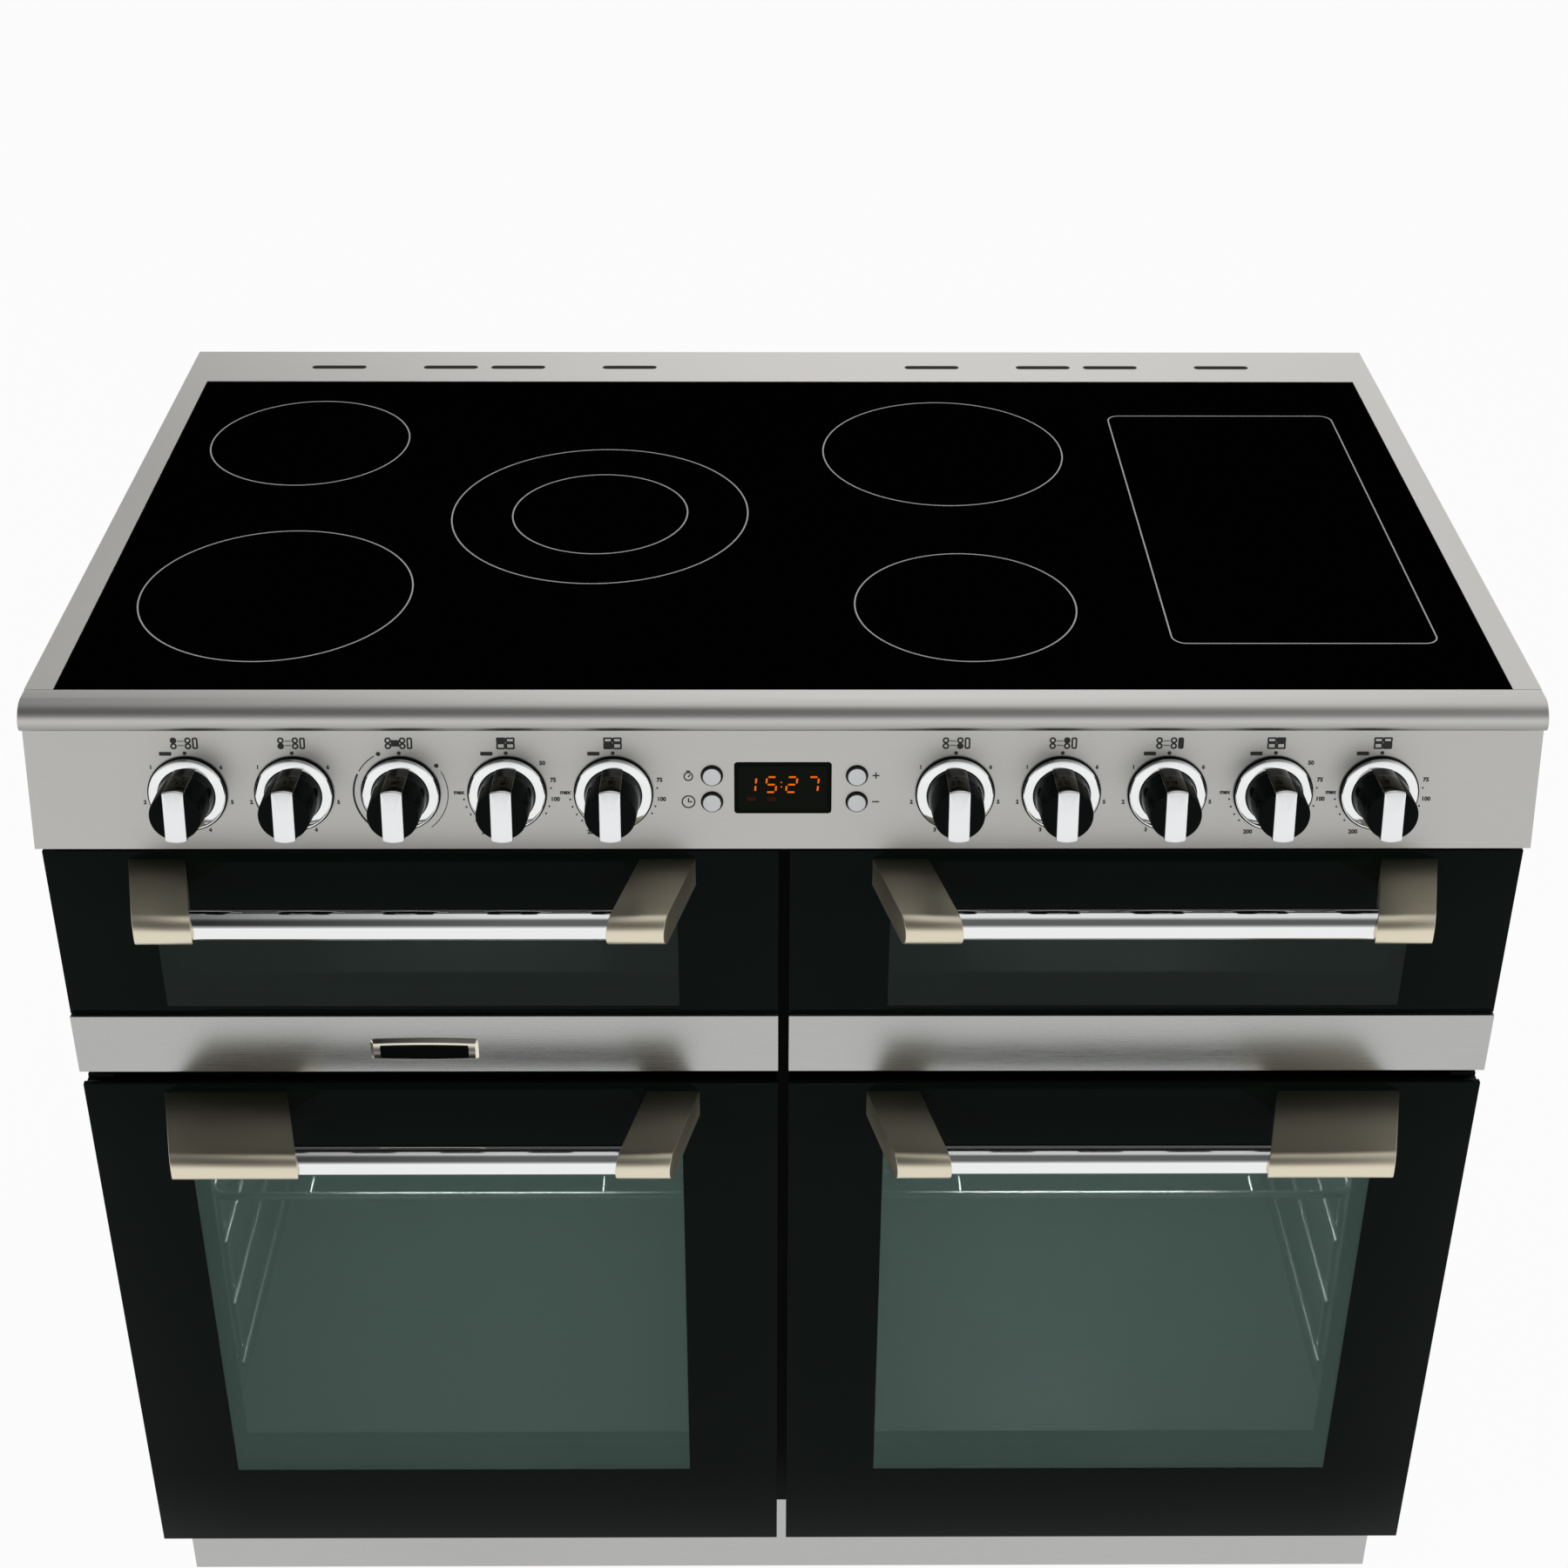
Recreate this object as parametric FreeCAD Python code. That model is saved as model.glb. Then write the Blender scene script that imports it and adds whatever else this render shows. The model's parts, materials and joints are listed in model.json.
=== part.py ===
import FreeCAD, Part
import math
import os

# A free-standing range cooker, 100 cm wide, with a ceramic hob, ten knobs and four ovens.
# X runs from left to right as seen from the front, Y from front to back, Z up from the floor.
# The origin lies on the floor, under the middle of the whole cooker. All sizes are millimetres.

V = FreeCAD.Vector
SIDES = (-1, 1)

# Overall sizes
cooker_width = 1000.0
cooker_height = 900.0
body_depth = 591.0
rear_overhang = 23.0
overrun = 5.0
direction_error = 1e-6

# Handles
bar_radius = 10.3
bar_setback = 3.0
bracket_nose_stand_off = 62.0
bracket_height = 21.8
bracket_width = 37.5
wide_bracket_width = 87.0
bracket_slant = 19.0
handle_inner_margin = 55.9
handle_outer_margin = 57.0
upper_handle_drop = 6.2
lower_handle_drop = 7.1

# Doors
door_thickness = 38.0
door_glass = 4.0
door_side_gap = 3.0
door_centre_gap = 7.2
door_glass_corner = 1.5
upper_glass_height = 135.8
glass_strip_gap = 2.1
strip_height = 49.2
strip_proud = 3.0
strip_sheet = 1.5
door_floor_gap = 8.0
door_top_gap = 4.1
door_between_gap = 13.5
liner_sheet = 1.2
liner_inset = 1.4
window_inner_margin = 68.9
window_outer_margin = 68.5
window_top_margin = 59.5
upper_window_bottom_margin = 5.0
lower_window_bottom_margin = 78.0
inner_pane = 4.0
pane_lap = 9.0

# Front frame and cabinet
frame_gap = 4.0
frame_sheet = 1.5
panel_sheet = 1.5
side_sheet = 1.5
side_reveal = 2.0
side_flange = 14.0
floor_height = 112.0
plinth_height = 82.0
plinth_setback = 45.0
plinth_side_inset = 8.0
plinth_return = 80.0
plinth_flange = 15.0

# Hob
hob_skirt = 18.2
hob_sheet = 1.5
glass_inset_front = 28.3
glass_inset_side = 19.0
hob_rear_strip = 62.5
hob_glass_thickness = 4.0
hob_glass_sink = 0.5
hob_glass_clearance = 0.3
ledge_width = 6.0
rail_nose = 4.2
rail_nose_drop = 14.5
rail_foot = 5.8
rail_sheet = 2.0
vent_slot_length = 46.0
vent_slot_width = 7.0
vent_slot_inset = 33.0
vent_group_x = 251.6
vent_inner_offset = 28.6
vent_outer_offset = 123.2

# Heating zones: across as a share of the glass's half width, back as a share of its depth,
# radius as a share of the smaller of the two
rear_left_zone_x_share = -0.7797
rear_left_zone_y_share = 0.7639
rear_left_zone_radius_share = 0.1623
front_left_zone_x_share = -0.7441
front_left_zone_y_share = 0.2645
front_left_zone_radius_share = 0.1985
dual_zone_x_share = -0.2846
dual_zone_y_share = 0.5140
dual_zone_radius_share = 0.2305
dual_zone_inner_radius_share = 0.1363
rear_right_zone_x_share = 0.2642
rear_right_zone_y_share = 0.7275
rear_right_zone_radius_share = 0.1962
front_right_zone_x_share = 0.2650
front_right_zone_y_share = 0.2287
front_right_zone_radius_share = 0.1612
long_zone_x_share = 0.7416
long_zone_y_share = 0.4932
long_zone_width_share = 0.3807
long_zone_depth_share = 0.7437
long_zone_corner = 10.0
dish_wall = 8.0
dish_floor = 18.0
ribbon_width = 2.0
ribbon_height = 6.0
ribbon_shares = (0.35, 0.6, 0.85)
dual_ribbon_shares = (0.3, 0.72, 0.88)

# Hob tray
tray_side_inset = 11.0
tray_front_inset = 20.0
tray_depth = 44.0
tray_sheet = 1.2

# Control panel
panel_top_gap = 3.0
panel_height = 84.0
panel_lean = math.radians(10.09)
panel_nose = 3.3
knob_first_x = 113.2
knob_outer_margin = 105.2
knob_height = 40.4
knobs_per_side = 5

# Knobs, measured outwards from the panel
knob_panel_gap = 0.5
skirt_radius = 25.5
skirt_top_radius = 23.1
skirt_edge = 2.0
skirt_thickness = 5.0
barrel_base_radius = 18.2
barrel_front_radius = 16.9
barrel_length = 33.0
barrel_edge = 1.0
grip_width = 14.5
grip_thickness = 1.5
shaft_radius = 3.0
shaft_reach = 20.0
shaft_clearance = 0.05
bush_radius = 5.0
bush_clearance = 0.4
bush_proud = 0.2
switch_size = 42.0
switch_depth = 30.0
switch_corner = 3.0
shaft_end_gap = 0.5

# Clock and buttons
display_width = 64.0
display_height = 36.3
display_x = -1.0
display_bottom = 26.0
display_proud = 0.4
display_corner = 2.0
lens_thickness = 2.9
lens_clearance = 0.3
display_body_inset = 1.0
clock_gap = 8.7
clock_depth = 25.0
clock_half_width = 62.0
clock_bottom = 20.0
clock_height = 50.0
clock_post_radius = 2.5
clock_post_inset = 4.0
button_radius = 6.5
button_hole_radius = 7.5
button_x = 48.0
button_low_height = 34.1
button_high_height = 52.9
button_proud = 3.5
button_collar_radius = 8.5
button_collar_thickness = 1.0
button_seat_gap = 0.3
button_stem_radius = 2.0
button_travel = 2.0
button_end_gap = 0.2
button_edge = 0.8

# Ovens
cavity_side_margin = 46.7
cavity_rear_space = 104.5
upper_cavity_rise = 30.4
upper_cavity_top_margin = 26.7
lower_cavity_rise = 40.0
lower_cavity_top_margin = 40.1
cavity_wall = 1.2
cavity_flange = 12.0
seal_width = 8.0
seal_offset = 1.0
seal_gap = 0.3

# Shelf racks and shelves
rack_wire = 2.5
rack_inset = 10.0
rack_upright_inset = 5.5
rack_front = 45.0
rack_rear_space = 75.0
rack_end_margin = 18.0
rack_foot_margin = 16.0
upper_rack_levels = 2
lower_rack_levels = 5
upper_rack_first = 36.0
lower_rack_first = 60.0
upper_rack_top_space = 54.0
lower_rack_top_space = 66.0
shelf_wire = 3.0
shelf_cross_wire = 1.75
shelf_side_inset = 11.5
shelf_front = 22.0
shelf_rear_space = 50.0
shelf_cross_count = 13
shelf_stay_share = 0.3
shelf_stay_drop = 2.5
shelf_corner = 14.0
shelf_rest_gap = 0.3

# Fans
fan_cover_size = 250.0
fan_cover_depth = 42.0
fan_cover_sheet = 1.0
fan_slot_count = 12
fan_slot_width = 6.0
fan_slot_inner = 25.0
fan_slot_outer = 78.0
fan_side_slot_length = 150.0
fan_side_slot_width = 10.0
fan_side_slot_margin = 12.0
impeller_radius = 72.0
impeller_inner_radius = 46.0
impeller_disc = 1.2
impeller_depth = 22.0
impeller_gap = 8.0
impeller_hub_radius = 14.0
impeller_blades = 12
blade_thickness = 1.2
fan_shaft_radius = 4.0
fan_shaft_hole_radius = 7.0
fan_shaft_reach = 30.0
motor_radius = 38.0
motor_length = 52.0
motor_plate_size = 96.0
motor_plate = 3.0

# Heating elements
element_wire = 3.25
ring_element_radius = 95.0
ring_element_leg = 14.0
ring_element_bend = 8.0
ring_element_gap = math.radians(24.0)
grill_drop = 16.0
grill_bend = 14.0
grill_neck_share = 0.075
grill_inner_share = 0.17
grill_outer_share = 0.38
grill_rear_share = 0.14
grill_mid_share = 0.26
grill_front_share = 0.82

# Door hinges
upper_axis_rise = 8.0
upper_axis_inset = 10.0
upper_arm_inner_margin = 24.4
upper_arm_outer_margin = 25.0
arm_thickness = 4.0
arm_half_height = 5.0
arm_slot_clearance = 1.5
upper_pin_radius = 3.0
upper_pin_length = 22.0
pin_clearance = 0.05
hinge_block_height = 22.0
hinge_block_depth = 20.0
hinge_block_width = 26.0
lower_axis_inset = 12.0
lower_axis_setback = 12.0
hinge_plate = 3.0
hinge_plate_gap = 2.0
hinge_plate_width = 18.0
hinge_plate_nose = 7.0
lower_pin_radius = 4.0
lower_pin_reach = 16.0
lower_pin_end_gap = 1.0
lower_block_width = 22.0
lower_block_height = 24.0

# Feet
foot_side_inset = 58.0
foot_front_y = 95.0
foot_rear_inset = 48.0
foot_radius = 25.0
foot_pad = 8.0
foot_cone = 8.0
foot_neck_radius = 10.0
stud_radius = 5.0
stud_above = 10.0
stud_clearance = 0.3
nut_radius = 9.8
nut_height = 8.0
nut_sides = 6

# Mains terminal box
terminal_side_inset = 153.0
terminal_width = 110.0
terminal_bottom = 150.0
terminal_height = 80.0
terminal_depth = 41.0
terminal_wall = 2.0
terminal_rear_inset = 2.0
terminal_clearance = 0.3
terminal_lap = 8.0
terminal_lap_thickness = 1.0
cable_hole_radius = 12.5
terminal_block_width = 60.0
terminal_block_height = 24.0
terminal_block_depth = 18.0

# Back panel louvres
louvre_length = 70.0
louvre_width = 6.0
louvre_pitch_x = 110.0
louvre_pitch_z = 18.0
louvre_columns = 7
louvre_rows = 5
louvre_bottom_share = 0.72

# Planes that the pieces share, worked out from the sizes above
handle_reach = bracket_nose_stand_off + bracket_height / 2
half_width = cooker_width / 2
face_y = handle_reach - (body_depth + handle_reach) / 2
hob_back_y = face_y + body_depth
body_back_y = hob_back_y - rear_overhang
door_back_y = face_y + door_thickness
frame_y = door_back_y + frame_gap
cavity_mouth_y = frame_y + frame_sheet
cavity_back_y = body_back_y - cavity_rear_space
cavity_depth = cavity_back_y - cavity_mouth_y
hob_top_z = cooker_height
hob_skirt_z = hob_top_z - hob_skirt
panel_top_z = hob_skirt_z - panel_top_gap
panel_bottom_z = panel_top_z - panel_height
upper_top_z = panel_bottom_z - door_top_gap
upper_glass_z = upper_top_z - upper_glass_height
strip_top_z = upper_glass_z - glass_strip_gap
upper_bottom_z = strip_top_z - strip_height
lower_top_z = upper_bottom_z - door_between_gap
floor_z = floor_height
lower_bottom_z = floor_z + door_floor_gap
floor_top_z = floor_z + side_sheet
door_inner_x = door_centre_gap / 2
door_outer_x = half_width - door_side_gap
side_outer_x = half_width - side_reveal
side_inner_x = side_outer_x - side_sheet
cavity_left_x = door_inner_x + cavity_side_margin
cavity_right_x = door_outer_x - cavity_side_margin
cavity_x = (cavity_left_x + cavity_right_x) / 2
cavity_width = cavity_right_x - cavity_left_x
window_inner_x = door_inner_x + window_inner_margin
window_outer_x = door_outer_x - window_outer_margin
upper_window = (upper_glass_z + upper_window_bottom_margin, upper_top_z - window_top_margin)
lower_window = (lower_bottom_z + lower_window_bottom_margin, lower_top_z - window_top_margin)
handle_inner_x = door_inner_x + handle_inner_margin
handle_outer_x = door_outer_x - handle_outer_margin
upper_arm_places = (door_inner_x + upper_arm_inner_margin, door_outer_x - upper_arm_outer_margin)
knob_pitch = (half_width - knob_outer_margin - knob_first_x) / (knobs_per_side - 1)
glass_front_y = face_y + glass_inset_front
glass_back_y = hob_back_y - hob_rear_strip
glass_half_width = half_width - glass_inset_side
zone_half_width = glass_half_width - hob_glass_clearance
zone_depth = glass_back_y - glass_front_y
zone_scale = min(zone_half_width, zone_depth)
dual_zone_x = zone_half_width * dual_zone_x_share
dual_zone_y = glass_front_y + zone_depth * dual_zone_y_share
dual_zone_inner_radius = zone_scale * dual_zone_inner_radius_share
long_zone_x = zone_half_width * long_zone_x_share
long_zone_y = glass_front_y + zone_depth * long_zone_y_share
long_zone_width = zone_half_width * long_zone_width_share
long_zone_depth = zone_depth * long_zone_depth_share
ledge_z = hob_top_z - hob_glass_sink - hob_glass_thickness
tray_top_z = ledge_z - hob_sheet
tray_floor_z = tray_top_z - tray_depth
upper_axis_z = upper_bottom_z + upper_axis_rise
upper_axis_y = face_y + upper_axis_inset
lower_axis_x = door_outer_x - lower_axis_inset
lower_axis_y = face_y + lower_axis_setback
terminal_x = terminal_side_inset - side_outer_x
foot_x = side_outer_x - foot_side_inset
foot_rows = (face_y + foot_front_y, body_back_y - foot_rear_inset)

# Bottom and height of the upper and of the lower oven cavities
upper_cavity_z = upper_bottom_z + upper_cavity_rise
lower_cavity_z = lower_bottom_z + lower_cavity_rise
UPPER = (upper_cavity_z, upper_top_z - upper_cavity_top_margin - upper_cavity_z)
LOWER = (lower_cavity_z, lower_top_z - lower_cavity_top_margin - lower_cavity_z)

# Rack level that each shelf rests on, left oven first
UPPER_SHELF_LEVELS = (0, 0)
LOWER_SHELF_LEVELS = (3, 3)


def round_zone(x_share, y_share, radius_share, ribbons):
    """Place, radius and ribbon shares of a round zone."""
    return (
        zone_half_width * x_share, glass_front_y + zone_depth * y_share,
        zone_scale * radius_share, ribbons,
    )


ROUND_ZONES = (
    round_zone(
        rear_left_zone_x_share, rear_left_zone_y_share, rear_left_zone_radius_share, ribbon_shares),
    round_zone(
        front_left_zone_x_share, front_left_zone_y_share, front_left_zone_radius_share, ribbon_shares),
    round_zone(dual_zone_x_share, dual_zone_y_share, dual_zone_radius_share, dual_ribbon_shares),
    round_zone(
        rear_right_zone_x_share, rear_right_zone_y_share, rear_right_zone_radius_share, ribbon_shares),
    round_zone(
        front_right_zone_x_share, front_right_zone_y_share, front_right_zone_radius_share, ribbon_shares),
)

# A frame on the control panel: X across, Y up the slope from its lower edge, Z out of its face
PANEL_FRAME = FreeCAD.Placement(
    V(0, face_y - panel_nose, panel_bottom_z),
    FreeCAD.Rotation(V(1, 0, 0), 90 - math.degrees(panel_lean)),
)

AXIS_X = V(1, 0, 0)
AXIS_Y = V(0, 1, 0)
AXIS_Z = V(0, 0, 1)


# Shapes that are used again and again

def block(x0, x1, y0, y1, z0, z1):
    """Box between six planes."""
    return Part.makeBox(x1 - x0, y1 - y0, z1 - z0, V(x0, y0, z0))


def rod(start, end, radius):
    """Round rod between two points."""
    run = end - start
    return Part.makeCylinder(radius, run.Length, start, run)


def fused(shapes):
    """One solid made of several that meet."""
    return shapes[0].multiFuse(shapes[1:]).removeSplitter()


def with_cuts(shape, tools):
    """A shape with every tool cut out of it."""
    return shape.cut(Part.makeCompound(tools))


def mirrored(shape, side):
    """The shape itself on the right, its mirror image on the left."""
    if side > 0:
        return shape
    return shape.mirror(V(0, 0, 0), AXIS_X)


def edges_along(shape, axis):
    """Straight edges that run along an axis."""
    found = []
    for edge in shape.Edges:
        if not isinstance(edge.Curve, Part.Line):
            continue
        if edge.Curve.Direction.cross(axis).Length < direction_error:
            found.append(edge)
    return found


def softened(shape, axis, radius):
    """A block whose edges along one axis are rounded."""
    return shape.makeFillet(radius, edges_along(shape, axis))


def prism_x(points, x0, x1):
    """Outline of (y, z) points, drawn out from x0 to x1."""
    corners = [V(x0, y, z) for y, z in points]
    face = Part.Face(Part.makePolygon(corners + corners[:1]))
    return face.extrude(V(x1 - x0, 0, 0))


def prism_z(points, z0, z1):
    """Outline of (x, y) points, drawn up from z0 to z1."""
    corners = [V(x, y, z0) for x, y in points]
    face = Part.Face(Part.makePolygon(corners + corners[:1]))
    return face.extrude(V(0, 0, z1 - z0))


def turned(points):
    """Solid of revolution about Z from an outline of (radius, height) points."""
    corners = [V(r, 0, z) for r, z in points]
    face = Part.Face(Part.makePolygon(corners + corners[:1]))
    return face.revolve(V(0, 0, 0), AXIS_Z, 360)


def on_panel(shape, x=0.0, y=0.0):
    """A shape made in the panel's own frame, set on the leaning panel."""
    placed = shape.copy()
    placed.translate(V(x, y, 0))
    placed.Placement = PANEL_FRAME.multiply(placed.Placement)
    return placed


def moved(shape, x=0.0, y=0.0, z=0.0):
    """A copy of a shape at another place."""
    placed = shape.copy()
    placed.translate(V(x, y, z))
    return placed


def rounded_path(points, radius):
    """Wire through points, with an arc of one radius at each inner point."""
    edges = []
    start = points[0]
    for before, corner, after in zip(points, points[1:], points[2:]):
        back = (before - corner).normalize()
        ahead = (after - corner).normalize()
        half_angle = back.getAngle(ahead) / 2
        setback = radius / math.tan(half_angle)
        first = corner + back * setback
        last = corner + ahead * setback
        middle_way = (back + ahead).normalize()
        middle = corner + middle_way * (radius / math.sin(half_angle) - radius)
        edges.append(Part.LineSegment(start, first).toShape())
        edges.append(Part.Arc(first, middle, last).toShape())
        start = last
    edges.append(Part.LineSegment(start, points[-1]).toShape())
    return Part.Wire(edges)


def tube_along(points, bend, radius):
    """Round wire bent along a path."""
    path = rounded_path(points, bend)
    section = Part.Wire(Part.makeCircle(radius, points[0], points[1] - points[0]))
    return path.makePipeShell([section], True, False)


# Hob

def hob_surround():
    """Pressed steel frame: side trims, rear vent strip, skirts and the ledge for the glass."""
    shell = block(-half_width, half_width, glass_front_y, hob_back_y, hob_skirt_z, hob_top_z)
    under = block(
        -half_width + hob_sheet, half_width - hob_sheet,
        glass_front_y - overrun, hob_back_y - hob_sheet,
        hob_skirt_z - overrun, hob_top_z - hob_sheet,
    )
    rebate = block(
        -glass_half_width - hob_sheet, glass_half_width + hob_sheet,
        glass_front_y, glass_back_y + hob_sheet,
        ledge_z - hob_sheet, hob_top_z - hob_sheet,
    )
    seat = block(
        -glass_half_width, glass_half_width,
        glass_front_y - overrun, glass_back_y,
        ledge_z, hob_top_z + overrun,
    )
    hole = block(
        -glass_half_width + ledge_width, glass_half_width - ledge_width,
        glass_front_y + ledge_width, glass_back_y - ledge_width,
        hob_skirt_z - overrun, hob_top_z + overrun,
    )
    frame = with_cuts(fused([shell.cut(under), rebate]), [seat, hole])
    return with_cuts(frame, vent_slots())


def vent_slots():
    """Eight long slots with round ends, in two groups of four."""
    slots = []
    radius = vent_slot_width / 2
    slot_y = hob_back_y - vent_slot_inset
    reach = vent_slot_length / 2 - radius
    for group in (-vent_group_x, vent_group_x):
        for offset in (-vent_outer_offset, -vent_inner_offset, vent_inner_offset, vent_outer_offset):
            x = group + offset
            low = hob_top_z - hob_sheet - overrun
            high = hob_top_z + overrun
            bar = block(x - reach, x + reach, slot_y - radius, slot_y + radius, low, high)
            ends = [rod(V(x + end * reach, slot_y, low), V(x + end * reach, slot_y, high), radius)
                    for end in SIDES]
            slots.append(fused([bar] + ends))
    return slots


def rail_profile(inset, back_y, x0, x1):
    """Section of the front rail, drawn in by an inset, as a solid from x0 to x1."""
    nose_y = face_y + rail_nose + inset
    foot_y = face_y + rail_foot + inset
    top_z = hob_top_z - inset
    nose_z = hob_top_z - rail_nose_drop
    foot_z = hob_skirt_z + inset
    radius = top_z - nose_z
    flat_y = nose_y + radius
    upper_middle = V(x0, flat_y - radius * math.cos(math.pi / 4), nose_z + radius * math.sin(math.pi / 4))
    foot_run = foot_y - nose_y
    foot_drop = nose_z - foot_z
    foot_radius_y = (foot_run * foot_run + foot_drop * foot_drop) / (2 * foot_run)
    half_turn = math.asin(foot_drop / foot_radius_y) / 2
    lower_middle = V(
        x0, nose_y + foot_radius_y * (1 - math.cos(half_turn)), nose_z - foot_radius_y * math.sin(half_turn))
    edges = [
        Part.LineSegment(V(x0, back_y, top_z), V(x0, flat_y, top_z)).toShape(),
        Part.Arc(V(x0, flat_y, top_z), upper_middle, V(x0, nose_y, nose_z)).toShape(),
        Part.Arc(V(x0, nose_y, nose_z), lower_middle, V(x0, foot_y, foot_z)).toShape(),
        Part.LineSegment(V(x0, foot_y, foot_z), V(x0, back_y, foot_z)).toShape(),
        Part.LineSegment(V(x0, back_y, foot_z), V(x0, back_y, top_z)).toShape(),
    ]
    return Part.Face(Part.Wire(edges)).extrude(V(x1 - x0, 0, 0))


def hob_front_rail():
    """Rounded rail along the front of the hob, hollow and open at its back."""
    outer = rail_profile(0, glass_front_y, -half_width, half_width)
    inner = rail_profile(
        rail_sheet, glass_front_y + overrun, -half_width + rail_sheet, half_width - rail_sheet,
    )
    return outer.cut(inner)


def hob_glass():
    """Ceramic glass plate that lies on the ledge."""
    return block(
        -glass_half_width + hob_glass_clearance, glass_half_width - hob_glass_clearance,
        glass_front_y + hob_glass_clearance, glass_back_y - hob_glass_clearance,
        ledge_z, ledge_z + hob_glass_thickness,
    )


def hob_tray():
    """Sheet tray under the glass, hung from the ledge by its rim."""
    x = glass_half_width - tray_side_inset
    y0 = glass_front_y + tray_front_inset
    y1 = glass_back_y - tray_side_inset
    body = block(-x, x, y0, y1, tray_floor_z, tray_top_z)
    rim = block(
        -glass_half_width, glass_half_width, glass_front_y, glass_back_y,
        tray_top_z - tray_sheet, tray_top_z,
    )
    hollow = block(
        -x + tray_sheet, x - tray_sheet, y0 + tray_sheet, y1 - tray_sheet,
        tray_floor_z + tray_sheet, tray_top_z + overrun,
    )
    return fused([body, rim]).cut(hollow)


def round_heater(x, y, radius, shares):
    """Insulated dish with flat heating ribbons standing in it."""
    base = tray_floor_z + tray_sheet
    centre = V(x, y, base)
    dish = Part.makeCylinder(radius + dish_wall / 2, ledge_z - base, centre)
    hollow = Part.makeCylinder(radius - dish_wall / 2, ledge_z - base, centre + V(0, 0, dish_floor))
    solids = [dish.cut(hollow)]
    for share in shares:
        outer = Part.makeCylinder(radius * share, ribbon_height, centre + V(0, 0, dish_floor))
        inner = Part.makeCylinder(radius * share - ribbon_width, ribbon_height, centre + V(0, 0, dish_floor))
        solids.append(outer.cut(inner))
    return solids


def rounded_slab(x, y, width, depth, corner, z0, z1):
    """Slab with rounded upright edges about a centre."""
    slab = block(x - width / 2, x + width / 2, y - depth / 2, y + depth / 2, z0, z1)
    return softened(slab, AXIS_Z, corner)


def long_heater():
    """Heater dish of the long zone, with two ribbons."""
    base = tray_floor_z + tray_sheet
    y = long_zone_y
    corner = long_zone_corner
    dish = rounded_slab(
        long_zone_x, y, long_zone_width + dish_wall, long_zone_depth + dish_wall, corner, base, ledge_z)
    floor = base + dish_floor
    hollow = rounded_slab(
        long_zone_x, y, long_zone_width - dish_wall, long_zone_depth - dish_wall, corner, floor, ledge_z)
    solids = [dish.cut(hollow)]
    for share in (ribbon_shares[0], ribbon_shares[-1]):
        width = long_zone_width * share
        depth = long_zone_depth * share
        top = floor + ribbon_height
        outer = rounded_slab(long_zone_x, y, width, depth, corner, floor, top)
        gap = ribbon_width + ribbon_width
        inner = rounded_slab(long_zone_x, y, width - gap, depth - gap, corner - ribbon_width, floor, top)
        solids.append(outer.cut(inner))
    return solids


def dual_ring():
    """Wall between the inner and the outer heater of the dual zone."""
    base = tray_floor_z + tray_sheet + dish_floor
    centre = V(dual_zone_x, dual_zone_y, base)
    outer = Part.makeCylinder(dual_zone_inner_radius + dish_wall / 2, ledge_z - base, centre)
    inner = Part.makeCylinder(dual_zone_inner_radius - dish_wall / 2, ledge_z - base, centre)
    return outer.cut(inner)


def radiant_elements():
    """All six heaters under the glass."""
    solids = []
    for x, y, radius, shares in ROUND_ZONES:
        solids += round_heater(x, y, radius, shares)
    solids.append(dual_ring())
    solids += long_heater()
    return Part.makeCompound(solids)


# Control panel, knobs, buttons and clock

def knob_places():
    """X of each knob, from the far left to the far right."""
    right = [knob_first_x + index * knob_pitch for index in range(knobs_per_side)]
    return [-x for x in reversed(right)] + right


def button_places():
    """Name and place of each push button on the panel."""
    return {
        "button_timer": (-button_x, button_high_height),
        "button_clock": (-button_x, button_low_height),
        "button_plus": (button_x, button_high_height),
        "button_minus": (button_x, button_low_height),
    }


def control_panel():
    """Folded steel panel: leaning front, top and bottom flanges and closed ends."""
    slope_run = panel_height * math.tan(panel_lean)
    front_skin = panel_sheet / math.cos(panel_lean)
    low_y = face_y - panel_nose
    high_y = low_y + slope_run
    outer = prism_x(
        [
            (low_y, panel_bottom_z), (high_y, panel_top_z),
            (frame_y, panel_top_z), (frame_y, panel_bottom_z),
        ],
        -half_width, half_width,
    )
    inner_low_z = panel_bottom_z + panel_sheet
    inner_high_z = panel_top_z - panel_sheet
    inner_low_y = low_y + front_skin + panel_sheet * math.tan(panel_lean)
    inner_high_y = high_y + front_skin - panel_sheet * math.tan(panel_lean)
    back_y = frame_y + overrun
    inner = prism_x(
        [
            (inner_low_y, inner_low_z), (inner_high_y, inner_high_z),
            (back_y, inner_high_z), (back_y, inner_low_z),
        ],
        -half_width + panel_sheet, half_width - panel_sheet,
    )
    holes = []
    depth = panel_sheet + overrun
    for x in knob_places():
        hole = Part.makeCylinder(bush_radius + bush_clearance, depth + overrun, V(0, 0, -depth))
        holes.append(on_panel(hole, x, knob_height))
    for x, y in button_places().values():
        hole = Part.makeCylinder(button_hole_radius, depth + overrun, V(0, 0, -depth))
        holes.append(on_panel(hole, x, y))
    holes.append(on_panel(display_block(lens_clearance, -depth, overrun)))
    return with_cuts(outer.cut(inner), holes)


def display_block(grow, z0, z1):
    """Rounded block of the display window, grown all round by a margin."""
    middle_y = display_bottom + display_height / 2
    width = display_width + grow + grow
    height = display_height + grow + grow
    return rounded_slab(display_x, middle_y, width, height, display_corner + grow, z0, z1)


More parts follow.
